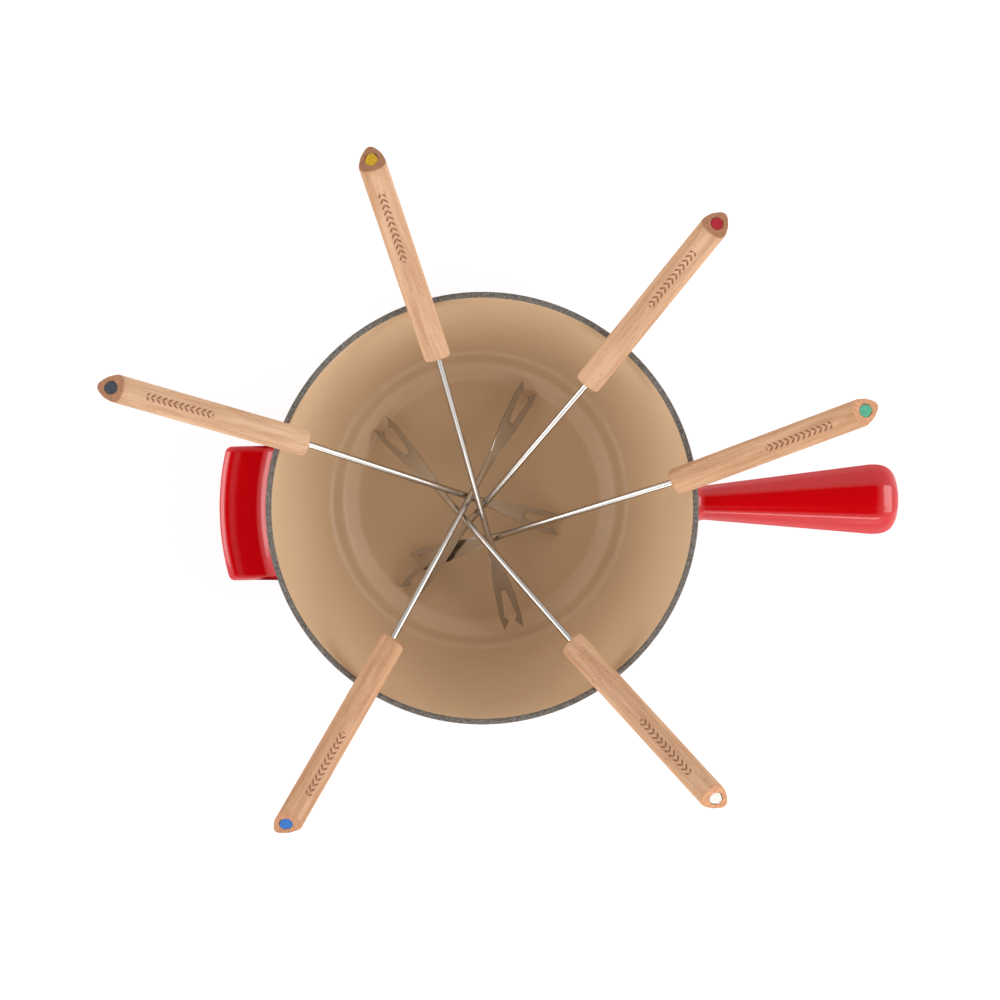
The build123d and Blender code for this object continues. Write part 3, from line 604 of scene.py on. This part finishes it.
# how far each blade is rolled, how far its handle leans from the shaft, how dark its wood is,
# and how much painted sheen lightens its back cut
forkLooks = {
    "yellow": (-8.1, 3.1, 0.35, 0.05), "red": (-3.9, 1.6, 0.4, 0.15), "green": (0.0, 3.5, 0.85, 0.9),
    "white": (7.5, 1.3, 0.5, 0.9), "blue": (-18.7, -1.4, 0.95, 0.45), "black": (10.7, 2.1, 0.0, 0.1),
}


def forkFrame(colour):
    joint = next(j for j in frame["joints"] if j["name"] == f"fork_{colour}_pull")
    along = Vector(joint["axis"]).normalized()
    points = [v.co for v in frame["nodes"][f"fork_shaft_{colour}"].data.vertices]
    far = max(p.dot(along) for p in points)
    ends = [p for p in points if p.dot(along) > far - 1e-5]
    low = Vector(tuple(min(p[i] for p in ends) for i in range(3)))
    high = Vector(tuple(max(p[i] for p in ends) for i in range(3)))
    tips = (low + high) / 2 - along * forkSizes["tangEnd"] * mm
    level = Vector((along.x, along.y, 0)).normalized()
    side = Vector((-level.y, level.x, 0))
    upward = along.cross(side)
    turn = math.radians(forkLooks[colour][0])
    rolledSide = side * math.cos(turn) + upward * math.sin(turn)
    rolledUp = upward * math.cos(turn) - side * math.sin(turn)
    return tips, along, rolledSide, rolledUp


def stickFrame(colour):
    # the handle's own frame: the fork's, turned about the upright through the handle's front
    tips, along, side, upward = forkFrame(colour)
    bare = forkSizes["length"] - forkSizes["handle"]
    front = tips + along * bare * mm
    lean = Matrix.Rotation(math.radians(forkLooks[colour][1]), 3, "Z")
    start = front - lean @ along * bare * mm
    return start, lean @ along, lean @ side, lean @ upward


def makeForkHandle(colour, sizes):
    s = sizes
    tips, along, side, upward = stickFrame(colour)
    front = s["length"] - s["handle"]
    tilt = math.tan(math.radians(s["backTilt"]))
    places, endValues = [], []

    def cutAt(height, sink=0.0):
        return s["length"] - (height + s["under"]) * tilt - sink

    def ring(distanceAt, isEnd, pull=0.0, radius=None):
        # pull draws the three-sided outline inwards; radius makes a plain round ring instead
        for j in range(s["segments"]):
            a = 2 * math.pi * j / s["segments"]
            if radius is None:
                reach = s["radius"] + s["ridge"] * math.sin(3 * a) - s["soften"] * math.cos(6 * a) - pull
                x, y = reach * math.cos(a), reach * math.sin(a) + s["raise"]
            else:
                x, y = radius * math.cos(a), radius * math.sin(a)
            places.append((x, y, distanceAt(y)))
            endValues.append(isEnd)

    boreEnd = front + s["boreDepth"]
    ring(lambda y: boreEnd, 0.0, radius=s["shaftBore"])
    ring(lambda y: front + s["boreEdge"], 0.0, radius=s["shaftBore"])
    ring(lambda y: front, 0.0, radius=s["shaftBore"] + s["boreEdge"])
    ring(lambda y: front, 0.0, radius=s["shaftBore"] + s["boreFace"])
    for k in range(9):
        a = math.pi / 2 * k / 8
        distance = front + s["frontRounding"] * (1 - math.cos(a))
        ring(lambda y, d=distance: d, 0.0, pull=s["frontRounding"] * (1 - math.sin(a)))
    bodyStart = front + s["frontRounding"]
    backRounding = s["backRounding"]
    for k in range(1, s["bodySteps"]):
        t = k / s["bodySteps"]
        ring(lambda y, t=t: bodyStart + (cutAt(y, backRounding) - bodyStart) * t, 0.0)
    for k in range(6):          # rounded edge of the cut
        a = math.pi / 2 * k / 5
        sink, pull = backRounding * (1 - math.sin(a)), backRounding * (1 - math.cos(a))
        ring(lambda y, sink=sink: cutAt(y, sink), 0.15 + 0.85 * k / 5, pull=pull)
    for pull in s["backRings"]:
        ring(lambda y: cutAt(y), 1.0, pull=pull)
    ring(lambda y: cutAt(y), 1.0, radius=s["plugBore"] + s["plugEdge"])
    ring(lambda y: cutAt(y, s["plugEdge"]), 1.0, radius=s["plugBore"])
    ring(lambda y: s["length"] - s["plugLength"], 1.0, radius=s["plugBore"])
    perRing, count = s["segments"], len(places) // s["segments"]
    faces = ringFaces(count, perRing)
    faces += capFaces(0, perRing, len(places)) + capFaces((count - 1) * perRing, perRing, len(places) + 1)
    places += [(0, 0, boreEnd), (0, 0, s["length"] - s["plugLength"])]
    endValues += [0.0, 1.0]
    points = [tips + (side * p[0] + upward * p[1] + along * p[2]) * mm for p in places]
    mesh = meshFrom("forkHandle_" + colour, points, faces, beech)
    # every stick is cut from another part of the plank
    shift = 37.0 * (1 + list(forkLooks).index(colour))
    vectorAttribute(mesh, "stickPlace", places)
    vectorAttribute(mesh, "grainPlace", [(p[0] + shift, p[1], p[2] + 2.3 * shift) for p in places])
    floatAttribute(mesh, "woodTone", [forkLooks[colour][2]] * len(places))
    # each fork's share of painted sheen on its back cut
    floatAttribute(mesh, "endLight", [forkLooks[colour][3]] * len(places))
    floatAttribute(mesh, "endGrain", endValues)
    return linkMesh(mesh.name, mesh)


def makeForkPlug(colour, sizes):
    s = sizes
    tips, along, side, upward = stickFrame(colour)
    tilt = math.tan(math.radians(s["backTilt"]))
    places = []
    full, foot, perRing = s["plugRadius"], s["length"] - s["plugLength"], s["plugSegments"]
    # radius, and how far below the back cut: none for the plug's foot
    rings = [
        (full, None), (full, 0.25), (full - 0.1, 0.1), (full - 0.3, 0.02),
        (2.2, 0.0), (1.4, 0.03), (0.6, 0.0),
    ]
    for i, (radius, sink) in enumerate(rings):
        for j in range(perRing):
            a = 2 * math.pi * j / perRing
            wobble = 1 + s["plugWobble"] * math.sin(3 * a + i) if i > 0 else 1.0
            x, y = math.cos(a) * radius * wobble, math.sin(a) * radius * wobble
            distance = foot if sink is None else s["length"] - (y + s["under"]) * tilt - sink
            places.append((x, y, distance))
    faces = ringFaces(len(rings), perRing) + capFaces(0, perRing, len(places))
    faces += capFaces((len(rings) - 1) * perRing, perRing, len(places) + 1)
    places += [(0, 0, foot), (0, 0, s["length"] - s["under"] * tilt)]
    points = [tips + (side * p[0] + upward * p[1] + along * p[2]) * mm for p in places]
    mesh = meshFrom("forkPlug_" + colour, points, faces, makePlugPaint(colour, plugColours[colour]))
    return linkMesh(mesh.name, mesh)


def plainMesh(piece, name):
    # the evaluated piece as a plain mesh, with the first object gone
    bpy.context.view_layer.update()
    evaluated = piece.evaluated_get(bpy.context.evaluated_depsgraph_get())
    mesh = bpy.data.meshes.new_from_object(evaluated)
    mesh.name = name
    bpy.data.objects.remove(piece)
    return linkMesh(name, mesh)


# angles in degrees; doubles nearer than merge, in metres, are merged
edgeWork = {"segments": 2, "angle": 28.0, "sharpAngle": 34.0, "merge": 2e-6, "degenerate": 1e-6}


def refineNode(node, material, bevel):
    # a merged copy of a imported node, with its edges broken
    mesh = frame["nodes"][node].data.copy()
    mesh.name = node + "_piece"
    mesh.materials.clear()
    mesh.materials.append(material)
    bm = bmesh.new()
    bm.from_mesh(mesh)
    bmesh.ops.remove_doubles(bm, verts=bm.verts, dist=edgeWork["merge"])
    bmesh.ops.dissolve_degenerate(bm, dist=edgeWork["degenerate"], edges=bm.edges)
    bm.to_mesh(mesh)
    bm.free()
    piece = linkMesh(mesh.name, mesh)
    if bevel:
        edgeBreak = piece.modifiers.new("edgeBreak", "BEVEL")
        edgeBreak.width = bevel * mm
        edgeBreak.segments = edgeWork["segments"]
        edgeBreak.limit_method = "ANGLE"
        edgeBreak.angle_limit = math.radians(edgeWork["angle"])
        edgeBreak.harden_normals = False
    piece = plainMesh(piece, node + "_piece")
    piece.data.set_sharp_from_angle(angle=math.radians(edgeWork["sharpAngle"]))
    for polygon in piece.data.polygons:
        polygon.use_smooth = True
    return piece


for colour in forkLooks:
    body = f"fork_{colour}"
    tips, along, side, upward = forkFrame(colour)
    stick = makeForkHandle(colour, forkSizes)
    plug = makeForkPlug(colour, forkSizes)
    shaft = refineNode(f"fork_shaft_{colour}", polishedSteel, 0.16)
    local = []
    for vertex in shaft.data.vertices:
        offset = (vertex.co - tips) / mm
        local.append((offset.dot(side), offset.dot(upward), offset.dot(along)))
    vectorAttribute(shaft.data, "grainPlace", local)
    for piece, node, slotName in (
        (stick, f"fork_handle_{colour}", "beech"),
        (plug, f"fork_plug_{colour}", f"plug_{colour}"),
        (shaft, f"fork_shaft_{colour}", "polished_steel"),
    ):
        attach(piece, body)
        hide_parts(node)
print("forks made")


# finishes of the stand and the burner

def makePowderCoat():
    material, tree, shader = newMaterial("blackCoat", 0.42)
    place = objectPlace(tree)
    grain = noiseOf(tree, place, 1500.0, 3.0, 0.6)
    worn = noiseOf(tree, place, 60.0, 4.0)
    coat = rampOf(tree, worn, (0.35, (0.012, 0.012, 0.013)), (0.7, (0.03, 0.03, 0.031)))
    tree.links.new(coat, shader.inputs["Base Color"])
    tree.links.new(rangeOf(tree, grain, 0.3, 0.7, 0.34, 0.52), shader.inputs["Roughness"])
    bumpOn(tree, shader, grain, 0.00006)
    return material


def makeTurnedSteel():
    # spun sheet steel: fine rings round the upright axis
    material, tree, shader = newMaterial("spunSteel", 0.26, 1.0)
    place = objectPlace(tree)
    parts = addNode(tree, "ShaderNodeSeparateXYZ", {"Vector": place}).outputs
    squares = [maths(tree, "POWER", parts[i], 2.0) for i in (0, 1)]
    radius = maths(tree, "SQRT", plus(tree, *squares))
    ringValues = {"X": times(tree, radius, 3200.0), "Y": times(tree, parts[2], 2600.0), "Z": 0.0}
    ringPlace = addNode(tree, "ShaderNodeCombineXYZ", ringValues).outputs[0]
    lines = noiseOf(tree, ringPlace, 1.0, 4.0, 0.7)
    stain = noiseOf(tree, place, 45.0, 4.0)
    base = mixColours(tree, stain, (0.52, 0.50, 0.48), (0.66, 0.65, 0.63))
    tree.links.new(mixColours(tree, lines, base, (0.70, 0.69, 0.67)), shader.inputs["Base Color"])
    tree.links.new(rangeOf(tree, lines, 0.25, 0.75, 0.2, 0.38), shader.inputs["Roughness"])
    bumpOn(tree, shader, lines, 0.00002)
    return material


def makePhenolic():
    material, tree, shader = newMaterial("blackKnob", 0.3)
    place = objectPlace(tree)
    cloud = noiseOf(tree, place, 180.0, 4.0)
    resin = rampOf(tree, cloud, (0.3, (0.009, 0.008, 0.008)), (0.7, (0.022, 0.019, 0.018)))
    tree.links.new(resin, shader.inputs["Base Color"])
    tree.links.new(rangeOf(tree, cloud, 0.3, 0.7, 0.24, 0.36), shader.inputs["Roughness"])
    bumpOn(tree, shader, noiseOf(tree, place, 900.0, 2.0), 0.00003)
    return material


def makeSoftRing():
    material, tree, shader = newMaterial("softRing", 0.7, specular=0.3)
    place = objectPlace(tree)
    dust = noiseOf(tree, place, 420.0, 4.0)
    rubber = rampOf(tree, dust, (0.35, (0.028, 0.028, 0.03)), (0.72, (0.06, 0.06, 0.062)))
    tree.links.new(rubber, shader.inputs["Base Color"])
    bumpOn(tree, shader, dust, 0.00008)
    return material


def makeWadding():
    material, tree, shader = newMaterial("wadding", 0.95, specular=0.1)
    place = stretched(tree, objectPlace(tree), (1000.0, 1000.0, 1000.0))
    # two lays of fibre, one across the other
    fibres = []
    for turned, scale in (((0.3, 0.2, 0.9), (0.5, 5.0, 2.0)), ((0.1, 0.5, -0.7), (4.0, 0.4, 2.0))):
        lay = addNode(tree, "ShaderNodeMapping", {"Vector": place, "Rotation": turned, "Scale": scale})
        fibres.append(noiseOf(tree, lay.outputs[0], 1.0, 5.0, 0.75))
    mat = maths(tree, "MAXIMUM", *fibres)
    felt = rampOf(tree, mat, (0.42, (0.50, 0.47, 0.41)), (0.66, (0.86, 0.84, 0.79)))
    tree.links.new(felt, shader.inputs["Base Color"])
    bumpOn(tree, shader, mat, 0.0006)
    return material


blackCoat = makePowderCoat()
spunSteel = makeTurnedSteel()
blackKnob = makePhenolic()
softRing = makeSoftRing()
waddingFelt = makeWadding()
rivetSteel = makeSteel("rivetSteel", (0.58, 0.57, 0.56), 0.3, None, (2.0, 2.0, 2.0), 0.00003)
drawnSteel = makeSteel("drawnSteel", (0.66, 0.65, 0.63), 0.24, None, (1.4, 1.4, 1.4), 0.00001)

# node: body, material, slot, width of the broken edge in millimetres
plainNodes = {
    "stand_top_ring": ("stand", blackCoat, "black_steel", 0.0),
    "stand_leg_1": ("stand", blackCoat, "black_steel", 0.45),
    "stand_leg_2": ("stand", blackCoat, "black_steel", 0.45),
    "stand_leg_3": ("stand", blackCoat, "black_steel", 0.45),
    "stand_tray": ("stand", blackCoat, "black_steel", 0.3),
    "stand_foot_ring": ("stand", softRing, "soft_ring", 0.0),
    "burner_cup": ("burner", spunSteel, "burner_steel", 0.2),
    "burner_wadding": ("burner", waddingFelt, "wadding", 0.6),
    "burner_cover": ("burner", spunSteel, "burner_steel", 0.18),
    "burner_handle_bracket": ("burner", drawnSteel, "burner_steel", 0.25),
    "burner_bracket_rivets": ("burner", rivetSteel, "rivet_steel", 0.25),
    "burner_grip": ("burner", blackKnob, "phenolic", 0.3),
    "snuffer_pin": ("burner", rivetSteel, "rivet_steel", 0.15),
    "regulator_ring": ("regulator", spunSteel, "burner_steel", 0.2),
    "regulator_rod": ("regulator", drawnSteel, "burner_steel", 0.2),
    "regulator_knob": ("regulator", blackKnob, "phenolic", 0.3),
    "snuffer_lid": ("snuffer", spunSteel, "burner_steel", 0.3),
    "snuffer_knob": ("snuffer", blackKnob, "phenolic", 0.3),
}
for node, (body, material, slotName, bevel) in plainNodes.items():
    piece = refineNode(node, material, bevel)
    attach(piece, body)
    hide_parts(node)
print("stand and burner dressed")


# rivets, set round the axis by a node tree

def socketId(tree, label):
    items = [item for item in tree.interface.items_tree if item.in_out == "INPUT"]
    return next(item.identifier for item in items if item.name == label)


def newTree(name, inputs):
    # an empty node tree with named inputs and one shape out
    tree = bpy.data.node_groups.new(name, "GeometryNodeTree")
    tree.interface.new_socket("Geometry", in_out="OUTPUT", socket_type="NodeSocketGeometry")
    for label, kind in inputs.items():
        tree.interface.new_socket(label, in_out="INPUT", socket_type="NodeSocket" + kind)
    return tree


def pieceFrom(tree, name, values):
    # the tree run with these values, as a plain mesh
    holder = linkMesh(tree.name + "Holder", bpy.data.meshes.new(tree.name + "Holder"))
    modifier = holder.modifiers.new(tree.name, "NODES")
    modifier.node_group = tree
    for label, value in values.items():
        modifier[socketId(tree, label)] = value
    return plainMesh(holder, name)


def rivetTree():
    inputs = {
        "Rivet": "Object", "Count": "Int", "Circle radius": "Float", "Start angle": "Float",
        "Material": "Material",
    }
    tree = newTree("rivetsRound", inputs)
    given = tree.nodes.new("NodeGroupInput").outputs
    result = tree.nodes.new("NodeGroupOutput")
    values = {"Vertices": given["Count"], "Radius": given["Circle radius"]}
    circle = addNode(tree, "GeometryNodeMeshCircle", values)
    turn = addNode(tree, "ShaderNodeCombineXYZ", {"Z": given["Start angle"]})
    values = {"Geometry": circle.outputs[0], "Rotation": turn.outputs[0]}
    turned = addNode(tree, "GeometryNodeTransform", values)
    rivet = addNode(tree, "GeometryNodeObjectInfo", {"Object": given["Rivet"]})
    values = {"Points": turned.outputs[0], "Instance": rivet.outputs["Geometry"]}
    placed = addNode(tree, "GeometryNodeInstanceOnPoints", values)
    real = addNode(tree, "GeometryNodeRealizeInstances", {"Geometry": placed.outputs[0]})
    values = {"Geometry": real.outputs[0], "Material": given["Material"]}
    painted = addNode(tree, "GeometryNodeSetMaterial", values)
    tree.links.new(painted.outputs[0], result.inputs[0])
    return tree


rivetsRound = rivetTree()
rivetLook = {"segments": 28, "sharpAngle": 40.0}
# each profile is (radius, height), from the underside up
rivetRows = {
    "stand_ring_rivets": {"circle": 74.1, "count": 3, "start": 90.0, "profile": [
        (0, 91.7), (1.2, 91.72), (2.2, 92.0), (2.9, 92.5), (3.2, 93.0),
        (1.75, 93.0), (1.75, 98.5), (3.1, 99.9), (2.9, 99.95), (0, 99.95),
    ]},
    "stand_tray_rivets": {"circle": 64.0, "count": 3, "start": 90.0, "profile": [
        (0, 2.7), (1.2, 2.72), (2.2, 3.0), (2.9, 3.5), (3.2, 4.0), (1.75, 4.0),
        (1.75, 8.5), (3.2, 8.5), (2.9, 9.0), (2.2, 9.5), (1.2, 9.78), (0, 9.8),
    ]},
}
for node, row in rivetRows.items():
    points, faces = lathe([(r * mm, z * mm) for r, z in row["profile"]], rivetLook["segments"])
    template = linkMesh("rivetTemplate", meshFrom("rivetTemplate", points, faces, rivetSteel))
    rivets = pieceFrom(rivetsRound, node + "_piece", {
        "Rivet": template, "Count": row["count"], "Circle radius": row["circle"] * mm,
        "Start angle": math.radians(row["start"]), "Material": rivetSteel,
    })
    bpy.data.objects.remove(template)
    rivets.data.set_sharp_from_angle(angle=math.radians(rivetLook["sharpAngle"]))
    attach(rivets, "stand")
    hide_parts(node)
print("rivets set")


# woven gauze over the wadding

gauzeSizes = {"radius": 34.5, "z": 34.0, "pitch": 1.5, "wire": 0.2, "sway": 0.22, "wires": 45, "sides": 5}


def gauzeTree(sides):
    inputs = {
        "Pitch": "Float", "Wires": "Int", "Disc radius": "Float", "Wire radius": "Float",
        "Sway": "Float", "Height": "Float", "Material": "Material",
    }
    tree = newTree("wovenGauze", inputs)
    given = tree.nodes.new("NodeGroupInput").outputs
    result = tree.nodes.new("NodeGroupOutput")
    gaps = minus(tree, given["Wires"], 1.0)
    span = times(tree, gaps, given["Pitch"])
    fine = plus(tree, times(tree, gaps, 2.0), 1.0)
    values = {"Resolution": sides, "Radius": given["Wire radius"]}
    profile = addNode(tree, "GeometryNodeCurvePrimitiveCircle", values)
    join = tree.nodes.new("GeometryNodeJoinGeometry")
    for axis in (0, 1):
        # a grid with points at and between the crossings along the wires of this axis
        counts = (given["Wires"], fine) if axis == 0 else (fine, given["Wires"])
        values = {"Size X": span, "Size Y": span, "Vertices X": counts[0], "Vertices Y": counts[1]}
        grid = addNode(tree, "GeometryNodeMeshGrid", values)
        position = tree.nodes.new("GeometryNodeInputPosition").outputs[0]
        parts = addNode(tree, "ShaderNodeSeparateXYZ", {"Vector": position}).outputs
        waves = []
        for i in (0, 1):
            phase = times(tree, maths(tree, "DIVIDE", parts[i], given["Pitch"]), math.pi)
            waves.append(maths(tree, "COSINE", phase))
        lift = times(tree, times(tree, *waves), given["Sway"])
        if axis:
            lift = times(tree, lift, -1.0)
        height = addNode(tree, "ShaderNodeCombineXYZ", {"Z": plus(tree, lift, given["Height"])})
        # the edges that run across the wires go
        ends = tree.nodes.new("GeometryNodeInputMeshEdgeVertices").outputs
        values = {0: ends["Position 1"], 1: ends["Position 2"]}
        gap = addNode(tree, "ShaderNodeVectorMath", values, operation="SUBTRACT")
        across = addNode(tree, "ShaderNodeSeparateXYZ", {"Vector": gap.outputs[0]}).outputs[axis]
        crossing = maths(tree, "GREATER_THAN", maths(tree, "ABSOLUTE", across), 0.0001)
        values = {"Geometry": grid.outputs[0], "Selection": crossing}
        strands = addNode(tree, "GeometryNodeDeleteGeometry", values, domain="EDGE", mode="EDGE_FACE")
        # and so does all that is outside the disc
        reach = addNode(tree, "ShaderNodeVectorMath", {0: position}, operation="LENGTH").outputs["Value"]
        outside = maths(tree, "GREATER_THAN", reach, given["Disc radius"])
        values = {"Geometry": strands.outputs[0], "Selection": outside}
        disc = addNode(tree, "GeometryNodeDeleteGeometry", values, domain="POINT", mode="ALL")
        values = {"Geometry": disc.outputs[0], "Offset": height.outputs[0]}
        lifted = addNode(tree, "GeometryNodeSetPosition", values)
        curves = addNode(tree, "GeometryNodeMeshToCurve", {"Mesh": lifted.outputs[0]})
        values = {"Curve": curves.outputs[0], "Profile Curve": profile.outputs[0], "Fill Caps": True}
        tube = addNode(tree, "GeometryNodeCurveToMesh", values)
        tree.links.new(tube.outputs[0], join.inputs[0])
    real = addNode(tree, "GeometryNodeRealizeInstances", {"Geometry": join.outputs[0]})
    values = {"Geometry": real.outputs[0], "Material": given["Material"]}
    painted = addNode(tree, "GeometryNodeSetMaterial", values)
    tree.links.new(painted.outputs[0], result.inputs[0])
    return tree


gauze = pieceFrom(gauzeTree(gauzeSizes["sides"]), "burner_gauze_piece", {
    "Pitch": gauzeSizes["pitch"] * mm, "Wires": gauzeSizes["wires"],
    "Disc radius": gauzeSizes["radius"] * mm, "Wire radius": gauzeSizes["wire"] * mm,
    "Sway": gauzeSizes["sway"] * mm, "Height": gauzeSizes["z"] * mm, "Material": drawnSteel,
})
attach(gauze, "burner")
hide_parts("burner_gauze")
print("gauze woven", len(gauze.data.polygons), "faces")


# floor, light and camera

stageLook = {
    "floor": 0.94,
    # the sky's brightness from the horizon up: share of the way up, and how bright
    "sky": ((0.0, 1.6), (0.42, 1.6), (0.66, 1.3), (0.88, 0.72), (0.955, 0.02)), "farDim": 0.64,
    # each softbox: place, width, height and power
    "aim": (0.0, 0.0, 0.15), "boxes": {
        "rightSoftbox": ((1.75, 0.1, 1.15), 1.0, 1.2, 16.0),
        "leftSoftbox": ((-1.75, 0.15, 1.0), 1.2, 0.7, 11.5),
        "nearSoftbox": ((0.15, -1.8, 0.85), 1.5, 0.55, 11.0),
    },
}

floorMesh = bpy.data.meshes.new("floor")
floorMesh.from_pydata([(-4, -4, 0), (4, -4, 0), (4, 4, 0), (-4, 4, 0)], [], [(0, 1, 2, 3)])
floorMaterial, floorTree, floorShader = newMaterial("paleFloor", 0.9, specular=0.1)
paper = noiseOf(floorTree, objectPlace(floorTree), 600.0, 3.0)
white = stageLook["floor"]
paperTone = mixColours(floorTree, paper, (white * 0.985,) * 3, (white,) * 3)
floorTree.links.new(paperTone, floorShader.inputs["Base Color"])
floorMesh.materials.append(floorMaterial)
floor = linkMesh("floor", floorMesh)

world = bpy.data.worlds.new("studio")
bpy.context.scene.world = world
world.use_nodes = True
sky = world.node_tree
direction = sky.nodes.new("ShaderNodeTexCoord").outputs["Generated"]
farShare, upShare = addNode(sky, "ShaderNodeSeparateXYZ", {"Vector": direction}).outputs[1:3]
shade = rampOf(sky, upShare, *((place, (bright,) * 3) for place, bright in stageLook["sky"]))
background = sky.nodes["Background"]
sky.links.new(rangeOf(sky, farShare, 0.1, 0.9, 1.0, stageLook["farDim"]), background.inputs["Strength"])
sky.links.new(shade, background.inputs["Color"])


def addSoftbox(name, place, aim, width, height, power):
    light = bpy.data.lights.new(name, "AREA")
    light.shape = "RECTANGLE"
    light.size, light.size_y = width, height
    light.energy = power
    holder = bpy.data.objects.new(name, light)
    bpy.context.scene.collection.objects.link(holder)
    holder.location = place
    holder.rotation_mode = "QUATERNION"
    holder.rotation_quaternion = (Vector(aim) - Vector(place)).to_track_quat("-Z", "Y")


for name, (place, width, height, power) in stageLook["boxes"].items():
    addSoftbox(name, place, stageLook["aim"], width, height, power)

# tilts in radians, turn in degrees
cameraSetup = {
    "place": (-0.02348, 0.0648, 1.42303), "tiltX": 0.04868, "tiltY": 0.02686, "turn": 1.226, "lens": 93.6,
}
camera = bpy.data.objects.new("camera", bpy.data.cameras.new("camera"))
bpy.context.scene.collection.objects.link(camera)
tilt = Matrix.Rotation(cameraSetup["tiltX"], 4, "X") @ Matrix.Rotation(cameraSetup["tiltY"], 4, "Y")
look = tilt @ Matrix.Rotation(math.radians(cameraSetup["turn"]), 4, "Z")
camera.matrix_world = Matrix.Translation(cameraSetup["place"]) @ look.inverted()
camera.data.lens = cameraSetup["lens"]
camera.data.sensor_width = 36.0
bpy.context.scene.camera = camera
bpy.context.scene.view_settings.view_transform = "Standard"
print("stage set")
